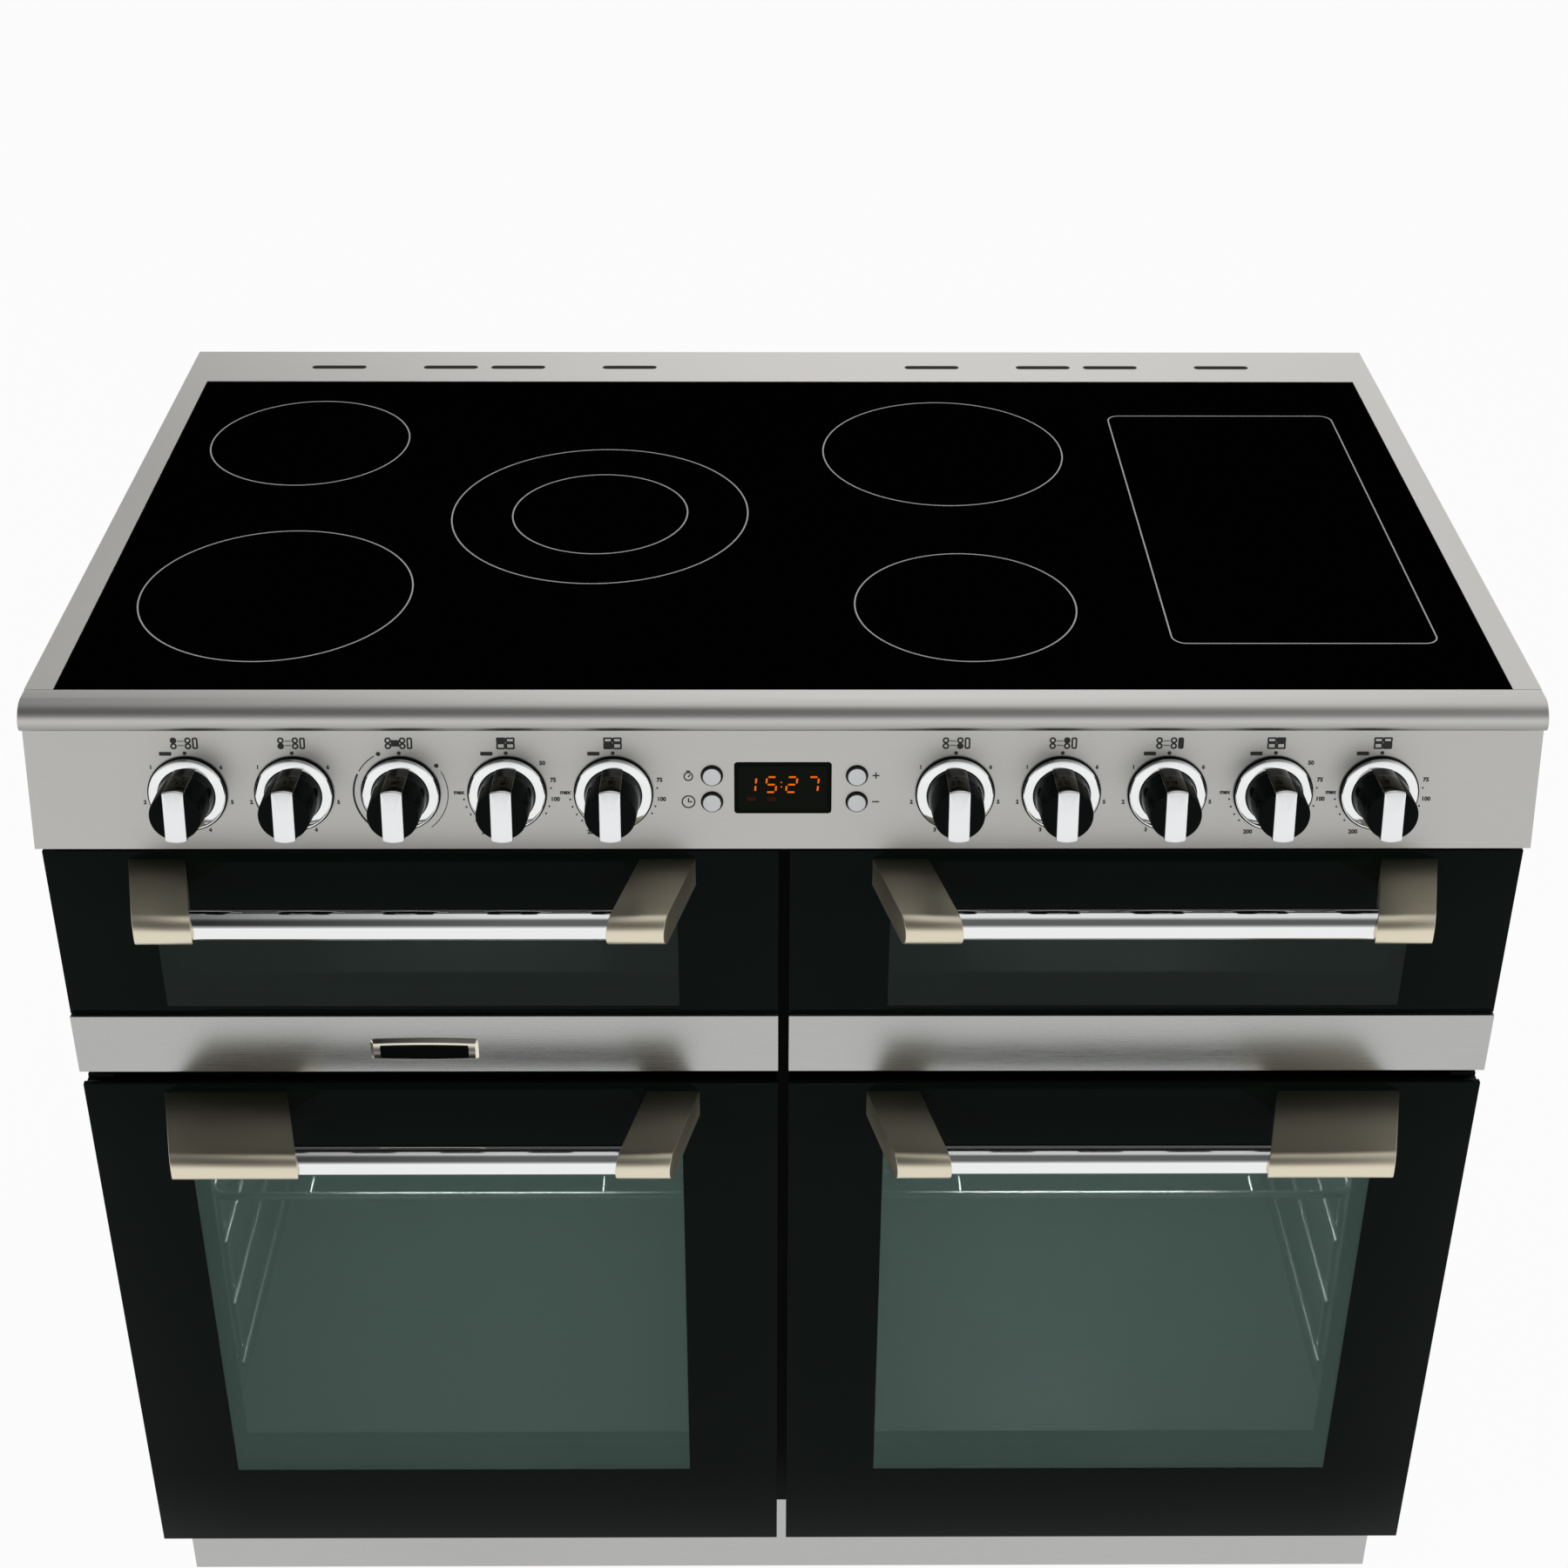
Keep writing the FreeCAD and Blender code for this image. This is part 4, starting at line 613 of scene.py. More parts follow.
def thickened(bm, step):
    """Grows flat faces into a solid along a vector."""
    grown = bmesh.ops.extrude_face_region(bm, geom=list(bm.faces))
    moved = [item for item in grown["geom"] if isinstance(item, bmesh.types.BMVert)]
    bmesh.ops.translate(bm, verts=moved, vec=step)
    bmesh.ops.recalc_face_normals(bm, faces=bm.faces)
    return bm


def spun_mesh(profile, steps):
    """Solid of revolution about Z from (radius, height) points that start and end on the axis."""
    bm = bmesh.new()
    verts = [bm.verts.new((radius, 0.0, height)) for radius, height in profile]
    edges = [bm.edges.new(pair) for pair in zip(verts, verts[1:])]
    turned(bm, verts + edges, steps)
    bmesh.ops.remove_doubles(bm, verts=bm.verts, dist=tiny)
    bmesh.ops.recalc_face_normals(bm, faces=bm.faces)
    return bm


def ring_mesh(radius, width, thickness, steps):
    """Flat ring about Z with a rectangular section."""
    bm = bmesh.new()
    inner = radius - width / 2
    outer = radius + width / 2
    corners = ((inner, 0.0), (outer, 0.0), (outer, thickness), (inner, thickness))
    verts = [bm.verts.new((across, 0.0, up)) for across, up in corners]
    edges = [bm.edges.new(pair) for pair in zip(verts, verts[1:] + verts[:1])]
    turned(bm, verts + edges, steps)
    bmesh.ops.recalc_face_normals(bm, faces=bm.faces)
    return bm


def arc_mesh(radius, line, thickness, start, stop, steps=40):
    """Flat arc about Z between two angles, clockwise from the Y axis."""
    bm = bmesh.new()
    verts = [bm.verts.new((0.0, radius + offset, 0.0)) for offset in (-line / 2, line / 2)]
    edge = bm.edges.new(verts)
    bmesh.ops.rotate(bm, verts=verts, cent=(0, 0, 0), matrix=Matrix.Rotation(-math.radians(start), 3, "Z"))
    bmesh.ops.spin(
        bm, geom=verts + [edge], cent=(0, 0, 0), axis=(0, 0, -1), angle=math.radians(stop - start),
        steps=steps, use_merge=False, use_duplicate=False,
    )
    return thickened(bm, (0, 0, thickness))


def sliced(bm, place, normal):
    """Cuts away all that lies beyond a plane and closes the cut."""
    cut = bmesh.ops.bisect_plane(
        bm, geom=list(bm.verts) + list(bm.edges) + list(bm.faces), dist=tiny,
        plane_co=place, plane_no=normal, clear_outer=True)
    rim = [item for item in cut["geom_cut"] if isinstance(item, bmesh.types.BMEdge)]
    bmesh.ops.holes_fill(bm, edges=rim)
    return bm


def plate_mesh(width, height, thickness, corner=0.0, segments=5, line=0.0):
    """Flat plate with rounded corners about the middle; only its outline where line is given."""
    bm = bmesh.new()
    bmesh.ops.create_grid(bm, x_segments=1, y_segments=1, size=0.5)
    bmesh.ops.transform(bm, matrix=Matrix.Diagonal((width, height, 1.0, 1.0)), verts=bm.verts)
    if corner:
        bmesh.ops.bevel(
            bm, geom=list(bm.verts), offset=corner, offset_type="OFFSET", segments=segments,
            profile=0.5, affect="VERTICES", clamp_overlap=True, material=-1,
        )
    if line:
        inner = list(bm.faces)
        bmesh.ops.inset_individual(bm, faces=inner, thickness=line)
        bmesh.ops.delete(bm, geom=inner, context="FACES_ONLY")
    return thickened(bm, (0, 0, thickness))


def disc_mesh(radius, thickness, steps=24):
    """Flat round spot about the middle."""
    bm = bmesh.new()
    bmesh.ops.create_cone(
        bm, cap_ends=True, segments=steps, radius1=radius, radius2=radius, depth=thickness)
    bmesh.ops.translate(bm, verts=bm.verts, vec=(0, 0, thickness / 2))
    return bm


def text_mesh(words, size, thickness):
    """Small plain print, centred."""
    curve = bpy.data.curves.new("numbers", "FONT")
    curve.body = words
    curve.size = size
    curve.align_x = "CENTER"
    curve.align_y = "CENTER"
    curve.extrude = thickness / 2
    curve.offset = letter_weight
    curve.resolution_u = 3
    carrier = bpy.data.objects.new("numbers", curve)
    show(carrier)
    graph = bpy.context.evaluated_depsgraph_get()
    mesh = bpy.data.meshes.new_from_object(carrier.evaluated_get(graph))
    bm = bmesh.new()
    bm.from_mesh(mesh)
    bmesh.ops.translate(bm, verts=bm.verts, vec=(0, 0, thickness / 2))
    bpy.data.objects.remove(carrier)
    bpy.data.curves.remove(curve)
    bpy.data.meshes.remove(mesh)
    return bm


def put(bm, matrix):
    """Moves a whole mesh and gives it back."""
    bmesh.ops.transform(bm, matrix=matrix, verts=bm.verts)
    return bm


def show(made):
    """Puts an object into the scene."""
    bpy.context.scene.collection.objects.link(made)


def at(x=0.0, y=0.0, z=0.0):
    """Matrix that moves by x, y and z."""
    return Matrix.Translation((x, y, z))


def joined(meshes):
    """One bmesh made of several."""
    whole = bmesh.new()
    for bm in meshes:
        part = bpy.data.meshes.new("part")
        bm.to_mesh(part)
        bm.free()
        whole.from_mesh(part)
        bpy.data.meshes.remove(part)
    return whole


def piece(name, bm, material, body, replaces=(), smooth=35.0):
    """Makes a bmesh into a finished piece that rides on a body."""
    mesh = bpy.data.meshes.new(name)
    bm.normal_update()
    bm.to_mesh(mesh)
    bm.free()
    mesh.materials.append(material)
    mesh.polygons.foreach_set("use_smooth", [True] * len(mesh.polygons))
    mesh.set_sharp_from_angle(angle=math.radians(smooth))
    made = bpy.data.objects.new(name, mesh)
    show(made)
    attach(made, body)
    if replaces:
        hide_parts(*replaces)
    return made


def cad_mesh(node):
    """Merged copy of a CAD node's mesh, with its flat faces joined up."""
    bm = bmesh.new()
    bm.from_mesh(NODES[node].data)
    bmesh.ops.remove_doubles(bm, verts=bm.verts, dist=weld_gap)
    bmesh.ops.dissolve_limit(
        bm, angle_limit=math.radians(0.5), verts=bm.verts, edges=bm.edges, use_dissolve_boundaries=False)
    return bm


def softened_node(node, material, body, width, segments=2, angle=40.0):
    """A CAD node's shape with small rounded edges, in place of the node."""
    bm = cad_mesh(node)
    round_edges(bm, sharp_edges(bm, angle), width, segments)
    made = piece(node + "_finished", bm, material, body, (node,))
    flat_faces = made.modifiers.new("flat_faces", "WEIGHTED_NORMAL")
    flat_faces.keep_sharp = True
    return made


def dress(node, material):
    """Gives a CAD node its finish."""
    NODES[node].data.materials.clear()
    NODES[node].data.materials.append(material)


# Hob

def make_hob():
    """Trim, front rail, black glass, the printed zones, and dark plates in the vent slots as painted shade.
    """
    softened_node("hob_surround", trim_steel, "cabinet", surround_round, 3)
    softened_node("hob_front_rail", rail_steel, "cabinet", rail_round, 3)
    softened_node("hob_glass", ceramic_black, "cabinet", hob_glass_round, 2)
    rings = []
    for x, y, radius in ROUND_ZONES:
        ring = ring_mesh(radius, print_line, print_thickness, ring_steps)
        rings.append(put(ring, at(x, face_y + y, hob_print_z)))
    outline = plate_mesh(long_zone_width, long_zone_depth, print_thickness, long_zone_corner, 6, print_line)
    rings.append(put(outline, at(long_zone_x, face_y + long_zone_y, hob_print_z)))
    piece("zone_lines", joined(rings), zone_ink, "cabinet")
    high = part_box("hob_surround")[1]
    # Dark plates in the vent slots, standing in for the shade inside them: painted shade
    painted_shade_plates = []
    for side in SIDES.values():
        for offset in VENT_OFFSETS:
            painted_shade_plate = plate_mesh(vent_length, vent_width, vent_depth, vent_width / 2, 8)
            place = at(side * vent_group_x + offset, high.y - vent_inset, high.z - vent_depth - vent_drop)
            painted_shade_plates.append(put(painted_shade_plate, place))
    piece("vent_painted_shade", joined(painted_shade_plates), frame_enamel, "cabinet")


# Control panel

def panel_matrix():
    """The panel's own frame: X across, Y up the slope from its lower edge, Z outwards."""
    joint = JOINTS["hob_knob_dual_turn"]
    outward = -Vector(joint["axis"])
    across = Vector((1, 0, 0))
    upward = outward.cross(across)
    place = Vector(joint["pos_m"]) - upward * knob_height
    matrix = Matrix((across, upward, outward)).transposed().to_4x4()
    matrix.translation = (0.0, place.y, place.z)
    return matrix


PANEL = panel_matrix()
KNOB_BODIES = [name for name in frame["record"]["behaviour"]["bodies"] if "_knob_" in name]


def knob_x(body):
    """Where a knob sits across the panel."""
    return JOINTS[body + "_turn"]["pos_m"][0]


def rounded_front(radius, front):
    """Last points of a knob's outline: the small round at its front edge, and its middle."""
    eased = barrel_round_share * barrel_round
    return (
        (radius, front - barrel_round), (radius - eased, front - eased),
        (radius - barrel_round, front), (0.0, front),
    )


def grip_mesh():
    """Bar over the top and down the front of a knob's barrel."""
    bm = spun_mesh((
        (0.0, skirt_front), (barrel_base_radius + grip_proud, skirt_front),
        *rounded_front(barrel_front_radius + grip_proud, barrel_front + grip_proud),
    ), grip_steps)
    for side in SIDES.values():
        sliced(bm, (side * grip_width / 2, 0, 0), (side, 0, 0))
    for vert in bm.verts:
        if vert.co.y < 0 and vert.co.z < barrel_front - barrel_round:
            vert.co.y *= (barrel_front_radius - grip_proud) / barrel_base_radius
    return bm


def make_knob(body):
    """Chrome skirt on a black ring of painted shadow, black barrel, glossy spine and silver front plate of
    one knob.
    """
    place = PANEL @ at(knob_x(body), knob_height)
    # Black ring a little wider than the skirt: painted shadow in the gap between skirt and panel
    shadow_ring_radius = skirt_radius + shadow_ring_margin
    painted_shadow_ring = spun_mesh((
        (0.0, shadow_ring_back), (shadow_ring_radius, shadow_ring_back), (shadow_ring_radius, skirt_back), (0.0, skirt_back),
    ), barrel_steps)
    section = [(skirt_radius - inset, skirt_back + rise) for inset, rise in SKIRT_SECTION]
    skirt = spun_mesh([(0.0, skirt_back)] + section + [(0.0, section[-1][1])], skirt_steps)
    barrel_foot = skirt_front - barrel_sink
    barrel = spun_mesh((
        (0.0, barrel_foot), (barrel_base_radius, barrel_foot),
        *rounded_front(barrel_front_radius, barrel_front),
    ), barrel_steps)
    cut_z = barrel_front - plate_depth
    spine = sliced(grip_mesh(), (0, 0, cut_z), (0, 0, 1))
    plate = sliced(grip_mesh(), (0, 0, cut_z), (0, 0, -1))
    for bar in (spine, plate):
        round_edges(bar, sharp_edges(bar, 60.0), grip_round, 3)
    shapes = {
        "painted_shadow_ring": (painted_shadow_ring, barrel_black), "skirt": (skirt, chrome), "barrel": (barrel, barrel_black),
        "spine": (spine, spine_gloss), "plate": (plate, plate_silver),
    }
    for word, (shape, material) in shapes.items():
        piece("%s_%s" % (body, word), put(shape, place), material, body, (body,))


def spot(x, y, radius):
    """Round printed spot on the panel."""
    return put(disc_mesh(radius, print_thickness), PANEL @ at(x, y, print_lift))


def stroke(x, y, width, height, corner=0.0, line=0.0, turn=0.0):
    """Printed bar or outline on the panel."""
    shape = plate_mesh(width, height, print_thickness, corner, 3, line)
    return put(shape, PANEL @ at(x, y, print_lift) @ Matrix.Rotation(turn, 4, "Z"))


def hoop(x, y, radius, line):
    """Printed circle on the panel."""
    return put(ring_mesh(radius, line, print_thickness, 32), PANEL @ at(x, y, print_lift))


def figures(x, y, words, size):
    """Printed number or short word on the panel."""
    return put(text_mesh(words, size, print_thickness), PANEL @ at(x, y, print_lift))


def hob_map(x, y, chosen):
    """Small plan of the six zones with one of them filled."""
    marks = []
    for name, (across, up) in MAP_SPOTS.items():
        if name == chosen:
            marks.append(spot(x + across, y + up, map_spot_radius))
        else:
            marks.append(hoop(x + across, y + up, map_spot_radius - icon_line / 2, icon_line))
    if chosen == "hob_knob_dual":
        marks.append(stroke(x + map_dual_x, y, map_dual_width, map_dual_height, mark_corner))
    else:
        for rise in (-map_bar_rise, map_bar_rise):
            marks.append(stroke(x + map_dual_x, y + rise, map_bar_width, map_bar_height))
    line = 0.0 if chosen == "hob_knob_rectangle" else icon_line
    marks.append(stroke(x + map_long_x, y, map_long_width, map_long_height, map_long_corner, line))
    return marks


def oven_map(x, y, chosen):
    """Small front view of the four ovens with one of them filled."""
    marks = []
    for level, rise, height in OVEN_ROWS:
        for word, side in SIDES.items():
            full = chosen == "oven_knob_%s_%s" % (level, word)
            line = 0.0 if full else icon_line
            marks.append(stroke(x + side * oven_cell / 2, y + rise, oven_cell, height, mark_corner, line))
    return marks


def around(x, reach, angle):
    """Point about a knob's middle, at an angle clockwise from the top."""
    turn = math.radians(angle)
    return x + reach * math.sin(turn), knob_height + reach * math.cos(turn)


def hob_scale(x, body):
    """Numerals about a hob knob, or the arcs about the dual zone's knob."""
    marks = []
    if body == "hob_knob_dual":
        for angle in DIAL_SPOTS:
            marks.append(spot(*around(x, dial_reach, angle), dial_spot_radius))
        for line, start, stop in DIAL_ARCS:
            arc = arc_mesh(dial_reach, line, print_thickness, start, stop)
            marks.append(put(arc, PANEL @ at(x, knob_height, print_lift)))
        return marks
    steps = numeral_count + 1
    for step in range(1, steps):
        place = around(x, numeral_radius, 360.0 * step / steps)
        marks.append(figures(*place, str(steps - step), numeral_size))
    return marks


def oven_scale(x, body):
    """Temperatures about an oven knob."""
    labels = OVEN_LABELS
    if body.startswith("oven_knob_upper"):
        labels += UPPER_OVEN_LABELS
    marks = []
    for words, angle in labels:
        marks.append(figures(*around(x, label_radius, angle), words, label_size))
    for angle in OVEN_TICKS:
        marks.append(spot(*around(x, tick_reach, angle), tick_radius))
    return marks


def knob_prints(body):
    """Index spot, plan, dash and scale about one knob."""
    x = knob_x(body)
    icon_y = knob_height + icon_rise
    marks = [spot(x, knob_height + index_rise, index_radius)]
    if body.startswith("hob"):
        marks += hob_map(x, icon_y, body) + hob_scale(x, body)
    else:
        marks += oven_map(x, icon_y, body) + oven_scale(x, body)
    if body in DASHED:
        marks.append(stroke(x + dash_offset, knob_height + dash_rise, dash_length, dash_height, dash_corner))
    return marks


def digit(figure, x, y, z):
    """One lit figure of the clock, leaning a little."""
    half = digit_height / 4
    wide = digit_width - 1.5 * digit_bar
    tall = digit_height / 2 - 1.5 * digit_bar
    bars = (
        (0, 2 * half, wide, digit_bar), (-1, half, digit_bar, tall), (1, half, digit_bar, tall),
        (0, 0, wide, digit_bar), (-1, -half, digit_bar, tall), (1, -half, digit_bar, tall),
        (0, -2 * half, wide, digit_bar),
    )
    lean = Matrix.Identity(4)
    lean[0][1] = digit_lean
    lit = []
    for shown, (side, rise, width, height) in zip(SEGMENTS[figure], bars):
        if shown:
            bar = plate_mesh(width, height, print_thickness, digit_corner, 2)
            lit.append(put(bar, PANEL @ at(x, y, z) @ lean @ at(side * digit_width / 2, rise)))
    return lit


def make_clock():
    """Display lens with its lit figures and dim symbols."""
    softened_node("clock_module", lens_black, "cabinet", lens_round, 3, 60.0)
    pane = plate_mesh(glass_width, glass_height, print_thickness, glass_corner, 4)
    put(pane, PANEL @ at(display_x, display_y, display_top + print_lift))
    piece("display_pane", pane, lens_grey, "cabinet")
    glow_z = display_top + 3 * print_lift
    figure_y = display_y + digit_rise
    lit = []
    for figure, place in zip("1527", digit_places):
        lit += digit(figure, display_x + place, figure_y, glow_z)
    for rise in (-colon_rise, colon_rise):
        colon = disc_mesh(colon_radius, print_thickness, 16)
        lit.append(put(colon, PANEL @ at(display_x + colon_x, figure_y + rise, glow_z)))
    piece("clock_figures", joined(lit), digit_glow, "cabinet")
    dim = []
    for place in symbol_places:
        for column in (-1, 0, 1):
            mark = plate_mesh(symbol_width, symbol_height, print_thickness, symbol_line, 2, symbol_line)
            across = display_x + place + column * symbol_step
            dim.append(put(mark, PANEL @ at(across, display_y - symbol_drop, glow_z)))
    piece("clock_symbols", joined(dim), symbol_glow, "cabinet")


def make_buttons():
    """Proud sleeves, whose black stands in for the shadowed gap round each button as painted shade, with
    softly domed silver faces.
    """
    for body, (x, y) in BUTTONS.items():
        sleeve = put(spun_mesh(SLEEVE_SECTION, button_steps), PANEL @ at(x, y))
        face = put(spun_mesh(FACE_SECTION, button_steps), PANEL @ at(x, y))
        # Black sleeve: painted shade of the gap round the button
        piece(body + "_sleeve", sleeve, black_plastic, body, (body,))
        piece(body + "_face", face, button_silver, body, (body,))


def button_prints():
    """Plus, minus, clock and timer marks beside the buttons."""
    circles = [hoop(x, y, radius, fine_line) for x, y, radius in BUTTON_CIRCLES]
    return circles + [stroke(x, y, width, height, turn=turn) for x, y, width, height, turn in BUTTON_BARS]


def make_panel():
    """Brushed panel with every print, knob and button."""
    softened_node("control_panel", panel_steel, "cabinet", panel_round, 2, 50.0)
    marks = button_prints()
    for body in KNOB_BODIES:
        marks += knob_prints(body)
        make_knob(body)
    piece("panel_prints", joined(marks), panel_ink, "cabinet")
    make_clock()
    make_buttons()


# Doors

def framed_pane(low, high, window):
    """Flat glass between two corners, with a rectangular hole."""
    x0, x1, z0, z1 = window
    bm = block_mesh(low.x, high.x, low.y, high.y, low.z - pane_skirt, high.z)
    back = [face for face in bm.faces if abs(face.normal.y) < 0.5 or face.normal.y > 0]
    bmesh.ops.delete(bm, geom=back, context="FACES")
    for place, normal in (((x0, 0, 0), (1, 0, 0)), ((x1, 0, 0), (1, 0, 0)),
                          ((0, 0, z0), (0, 0, 1)), ((0, 0, z1), (0, 0, 1))):
        bmesh.ops.bisect_plane(
            bm, geom=list(bm.verts) + list(bm.edges) + list(bm.faces), dist=tiny,
            plane_co=place, plane_no=normal)
    hole = []
    for face in bm.faces:
        middle = face.calc_center_median()
        if x0 < middle.x < x1 and z0 < middle.z < z1:
            hole.append(face)
    bmesh.ops.delete(bm, geom=hole, context="FACES")
    thickened(bm, (0, high.y - low.y, 0))
    rim = []
    for edge in sharp_edges(bm, 60.0):
        middle = (edge.verts[0].co + edge.verts[1].co) / 2
        if not (x0 - MM < middle.x < x1 + MM and z0 - MM < middle.z < z1 + MM):
            rim.append(edge)
    round_edges(bm, rim, pane_round, 2)
    return bm


def make_door_glass(door, tint):
    """Black border and tinted window of one door's outer glass."""
    node = door + "_glass"
    low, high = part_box(node)
    inner_low, inner_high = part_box(door + "_inner_glass")
    x0, x1 = inner_low.x + pane_lap, inner_high.x - pane_lap
    z0, z1 = inner_low.z + pane_lap, inner_high.z - pane_lap
    border = framed_pane(low, high, (x0, x1, z0, z1))
    piece(node + "_border", border, border_black, door, (node,))
    pane = block_mesh(x0, x1, low.y, high.y, z0, z1)
    piece(node + "_window", pane, tint, door, (node,))


def bracket_mesh(x0, x1, shift, low, high):
    """Slanted handle bracket with a half-round nose."""
    bm = block_mesh(x0, x1, low.y, high.y, low.z, high.z)
    nose = [edge for edge in bm.edges if all(vert.co.y < low.y + MM for vert in edge.verts)
            and abs(edge.verts[0].co.x - edge.verts[1].co.x) > MM]
    round_edges(bm, nose, (high.z - low.z) / 2 * nose_share, nose_steps)
    reach = high.y - low.y
    slant = Matrix.Identity(4)
    slant[0][1] = -shift / reach
    slant[0][3] = shift / reach * high.y
    put(bm, slant)
    round_edges(bm, sharp_edges(bm, 55.0), bracket_round, 3)
    return bm


def make_handle(door, outer_width, side):
    """Two satin brackets and a bright bar."""
    node = door + "_handle"
    low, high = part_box(node)
    inner_x = min(abs(low.x), abs(high.x))
    outer_x = max(abs(low.x), abs(high.x))
    brackets = []
    for x0, x1, shift in ((inner_x, inner_x + bracket_width, bracket_slant),
                          (outer_x - outer_width, outer_x, -bracket_slant)):
        first, last = sorted((side * x0, side * x1))
        brackets.append(bracket_mesh(first, last, side * shift, low, high))
    piece(node + "_brackets", joined(brackets), bracket_nickel, door, (node,))
    axis_z = (low.z + high.z) / 2
    axis_y = low.y + (high.z - low.z) / 2 + bar_setback
    start = inner_x + bracket_slant + bracket_width / 2
    stop = outer_x - outer_width - bracket_slant + bracket_width / 2
    bar = bmesh.new()
    bmesh.ops.create_cone(
        bar, cap_ends=True, segments=bar_steps, radius1=bar_radius, radius2=bar_radius, depth=stop - start)
    middle = side * (start + stop) / 2
    put(bar, at(middle, axis_y, axis_z) @ Matrix.Rotation(math.pi / 2, 4, "Y"))
    piece(node + "_bar", bar, chrome, door, (node,))


def make_doors():
    """Dresses all four doors."""
    for word, side in SIDES.items():
        for level, tint, width in (
                ("upper", upper_tint, bracket_width), ("lower", lower_tint, wide_bracket_width)):
            door = "%s_%s_door" % (level, word)
            make_door_glass(door, tint)
            make_handle(door, width, side)
            dress(door + "_liner", frame_enamel)
            dress(door + "_inner_glass", clear_pane)
        upper_door = "upper_%s_door" % word
        softened_node(upper_door + "_trim", strip_steel, upper_door, trim_round, 3)


def barrelled(bm, length):
    """Bows the long edges of a plate outwards."""
    long_edges = [edge for edge in bm.edges if edge.calc_length() > length / 2]
    bmesh.ops.subdivide_edges(bm, edges=long_edges, cuts=bow_cuts, use_grid_fill=True)
    for vert in bm.verts:
        vert.co.y *= 1 + badge_bulge * (1 - (2 * vert.co.x / length) ** 2)
    return bm


def make_badge():
    """Bare black field in a bowed bright rim on the left strip."""
    low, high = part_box("upper_left_door_trim")
    facing = at(badge_x, low.y, (low.z + high.z) / 2 - badge_drop) @ Matrix.Rotation(math.pi / 2, 4, "X")
    rim = barrelled(plate_mesh(badge_width, badge_height, rim_thickness, rim_corner, 4), badge_width)
    front = [edge for edge in sharp_edges(rim, 60.0) if all(vert.co.z > MM for vert in edge.verts)]
    round_edges(rim, front, rim_round, 1)
    field = barrelled(plate_mesh(field_width, field_height, field_thickness, field_corner, 3), field_width)
    piece("badge_rim", put(rim, facing), warm_chrome, "upper_left_door")
    put(field, facing @ at(0.0, -field_drop, field_back))
    piece("badge_field", field, barrel_black, "upper_left_door")


# Cabinet and ovens

def screw_mesh(radius, rise):
    """Pan-headed screw with a round drive recess."""
    return spun_mesh((
        (0.0, 0.0), (radius, 0.0), (radius, 0.45 * rise), (0.82 * radius, 0.82 * rise),
        (0.5 * radius, rise), (0.36 * radius, rise), (0.3 * radius, 0.4 * rise), (0.0, 0.4 * rise),
    ), screw_steps)


def screw_heads(places, radius, rise, facing):
    """Like screws at several places, all facing one way."""
    return [put(screw_mesh(radius, rise), at(*place) @ facing) for place in places]


def make_screws():
    """Screws around the back sheet, on the terminal box's lid and along the side panels."""
    backwards = Matrix.Rotation(-math.pi / 2, 4, "X")
    low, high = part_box("back_panel")
    low_z, high_z = low.z + screw_margin, high.z - screw_margin
    places = []
    for step in range(back_screw_rows):
        along = step / (back_screw_rows - 1)
        for x in (low.x + screw_margin, high.x - screw_margin):
            places.append((x, high.y, low_z + (high_z - low_z) * along))
    for share in back_screw_shares:
        for z in (low_z, high_z):
            places.append((share * high.x, high.y, z))
    heads = screw_heads(places, screw_radius, screw_rise, backwards)
    piece("back_screws", joined(heads), galvanised, "cabinet")

    low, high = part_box("terminal_box")
    places = []
    for x in (low.x + screw_margin, high.x - screw_margin):
        for z in (low.z + screw_margin, high.z - screw_margin):
            places.append((x, high.y, z))
    heads = screw_heads(places, lid_screw_radius, lid_screw_rise, backwards)
    piece("lid_screws", joined(heads), galvanised, "cabinet")

    low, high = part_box("side_panels")
    front_y, run = low.y + 4 * screw_margin, high.y - low.y - 6 * screw_margin
    spots = []
    for step in range(side_screw_columns):
        spots.append((front_y + run * step / (side_screw_columns - 1), low.z + screw_margin))
    for share in side_screw_shares:
        spots.append((high.y - screw_margin, low.z + (high.z - low.z) * share))
    heads = []
    for side in SIDES.values():
        outwards = Matrix.Rotation(side * math.pi / 2, 4, "Y")
        places = [(side * high.x, y, z) for y, z in spots]
        heads += screw_heads(places, lid_screw_radius, lid_screw_rise, outwards)
    piece("side_screws", joined(heads), black_plastic, "cabinet")


def make_cabinet():
    """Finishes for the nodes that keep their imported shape."""
    plain = {
        "side_panels": side_enamel, "back_panel": galvanised, "base_pan": galvanised,
        "plinth": strip_steel, "front_frame": frame_enamel, "oven_cavities": oven_enamel,
        "shelf_runners": wire_chrome, "fan_covers": oven_enamel, "fan_motors": galvanised,
        "oven_elements": element_steel, "door_seals": seal_rubber, "door_hinge_brackets": frame_enamel,
        "terminal_box": black_plastic, "hob_tray": galvanised, "radiant_elements": fibre,
        "control_switches": switch_plastic, "levelling_feet": black_plastic,
        "left_fan_impeller": galvanised, "right_fan_impeller": galvanised,
        "upper_left_shelf": wire_chrome, "upper_right_shelf": wire_chrome,
        "lower_left_shelf": wire_chrome, "lower_right_shelf": wire_chrome,
    }
    for node, material in plain.items():
        dress(node, material)


# Studio

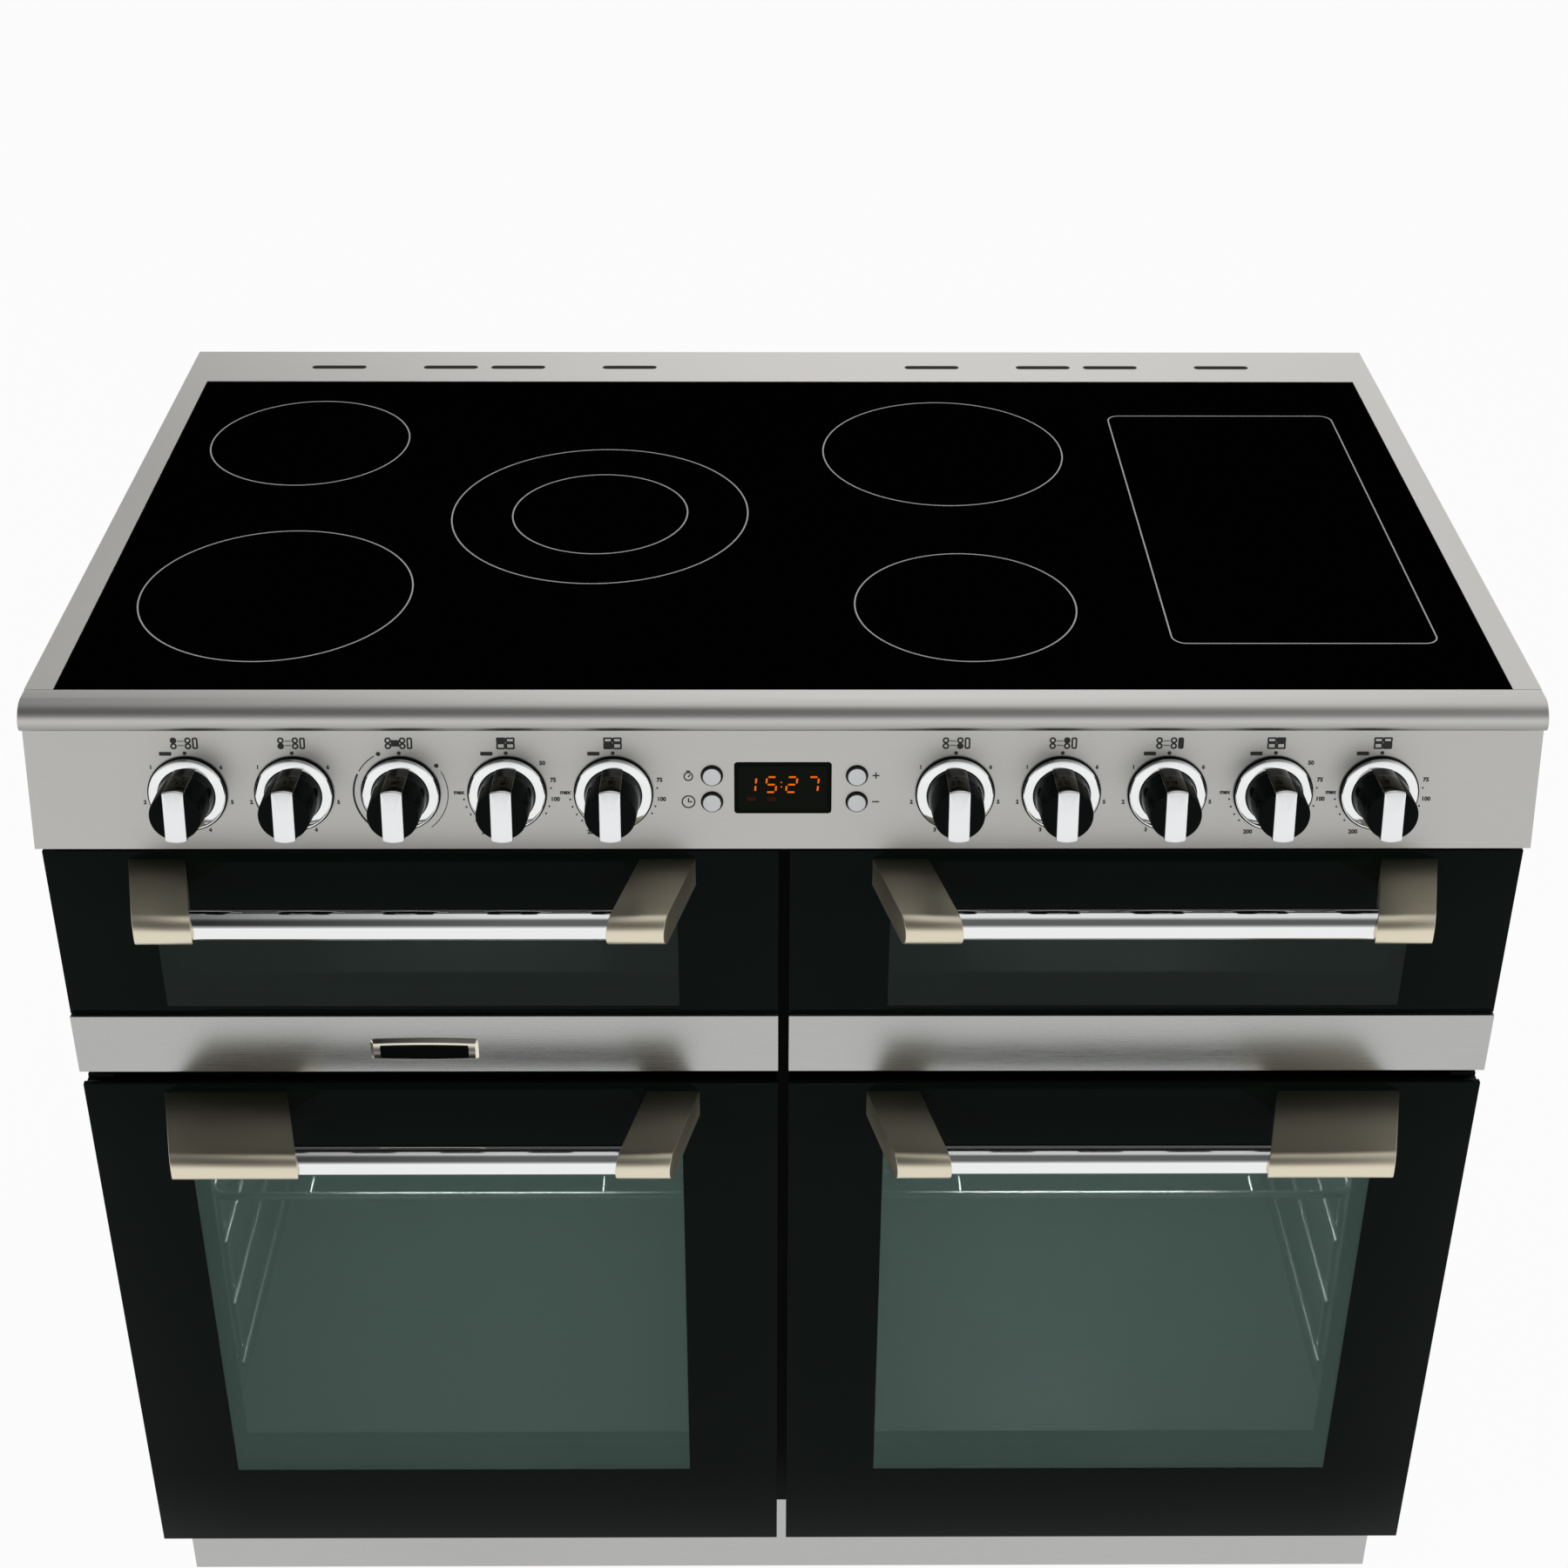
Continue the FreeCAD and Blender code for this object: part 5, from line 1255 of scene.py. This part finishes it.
def gradient_background():
    """White near the horizon, pale above, duller to the sides, with a dark patch high in front."""
    world = bpy.data.worlds.new("studio")
    bpy.context.scene.world = world
    world.use_nodes = True
    sky = Nodes(world.node_tree)
    where = sky.node("ShaderNodeTexCoord", output="Generated")
    height = sky.node("ShaderNodeSeparateXYZ", values={0: where}, output="Z")
    across = sky.node("ShaderNodeSeparateXYZ", values={0: where}, output="X")
    left_dusk = sky.ramp(across, -0.23, -0.1, 1.0, 0.0) * sky.ramp(height, 0.38, 0.56, 0.36, 0.8)
    right_dusk = sky.ramp(across, 0.12, 0.4, 0.0, 0.28)
    dusk = (left_dusk + right_dusk) * sky.ramp(height, 0.12, 0.3, 0.0, 1.0)
    patch = (0.0, -math.cos(patch_elevation), math.sin(patch_elevation))
    nearness = sky.node(
        "ShaderNodeVectorMath", {"operation": "DOT_PRODUCT"}, {0: where, 1: patch}, output="Value")
    level = (1.0 - dusk) * sky.ramp(height, 0.08, 0.3, 1.0, 0.85) * sky.ramp(nearness, 0.77, 0.95, 1.0, 0.15)
    sky.feed(world.node_tree.nodes["Background"].inputs["Color"], level)


def studio_floor():
    """Large pale floor that keeps the shadow and shows white."""
    bm = bmesh.new()
    bmesh.ops.create_grid(bm, x_segments=1, y_segments=1, size=floor_size)
    mesh = bpy.data.meshes.new("floor")
    bm.to_mesh(mesh)
    bm.free()
    floor = bpy.data.objects.new("floor", mesh)
    show(floor)
    white = Finish("floor_white", (0.75, 0.75, 0.75), 0.9, Specular_IOR_Level=0.0)
    glow = white.node("ShaderNodeEmission")
    rays = white.tree.nodes.new("ShaderNodeLightPath")
    seen = Signal(white, 0.0)
    for kind in ("Is Camera Ray", "Is Glossy Ray", "Is Transmission Ray"):
        seen = seen.math("MAXIMUM", Signal(white, rays.outputs[kind]))
    blend = white.node(
        "ShaderNodeMixShader", values={0: seen * floor_glow, 1: white.surface.outputs[0], 2: glow})
    white.feed(white.tree.nodes["Material Output"].inputs["Surface"], blend)
    mesh.materials.append(white.material)


def soft_lamp(name, place, target, size, power):
    """Square soft lamp that faces a point."""
    data = bpy.data.lights.new(name, "AREA")
    data.shape = "SQUARE"
    data.size = size
    data.energy = power
    lamp = bpy.data.objects.new(name, data)
    lamp.location = place
    lamp.rotation_euler = (Vector(target) - Vector(place)).to_track_quat("-Z", "Y").to_euler()
    lamp.visible_glossy = False
    show(lamp)


def studio_lamps():
    """Soft light from above and from both sides of the front."""
    for name, (place, size, power) in LAMPS.items():
        soft_lamp(name, place, lamp_target, size, power)


def oven_lamps():
    """A small lamp under each oven's ceiling, as the real one has."""
    for word, side in SIDES.items():
        gain = right_lamp_gain if word == "right" else 1.0
        for level, (z, power) in OVEN_LAMPS.items():
            data = bpy.data.lights.new("oven_lamp_%s_%s" % (level, word), "AREA")
            data.shape = "SQUARE"
            data.size = oven_lamp_size
            data.energy = power * gain
            data.color = oven_lamp_color
            lamp = bpy.data.objects.new(data.name, data)
            lamp.location = (side * oven_lamp_x, face_y + oven_lamp_depth, z)
            show(lamp)


def make_camera():
    """Camera at the photograph's place, angle and framing."""
    data = bpy.data.cameras.new("camera")
    data.sensor_width = sensor_width
    data.lens = focal_pixels / image_pixels * sensor_width
    data.shift_y = (principal_row - image_pixels / 2) / image_pixels
    data.clip_start = clip_near
    data.clip_end = clip_far
    camera = bpy.data.objects.new("camera", data)
    turn = Matrix.Rotation(-camera_yaw, 4, "Z") @ Matrix.Rotation(math.pi / 2 - camera_pitch, 4, "X")
    roll = Matrix.Rotation(-camera_roll, 4, "Z")
    place = at(camera_x, face_y - camera_from_face, hob_high.z + steel_over_glass + camera_over_hob)
    camera.matrix_world = place @ turn @ roll
    show(camera)
    bpy.context.scene.camera = camera


make_camera()
gradient_background()
studio_floor()
studio_lamps()
oven_lamps()
make_cabinet()
make_hob()
make_panel()
make_doors()
make_badge()
make_screws()

bpy.context.scene.view_settings.view_transform = "Standard"
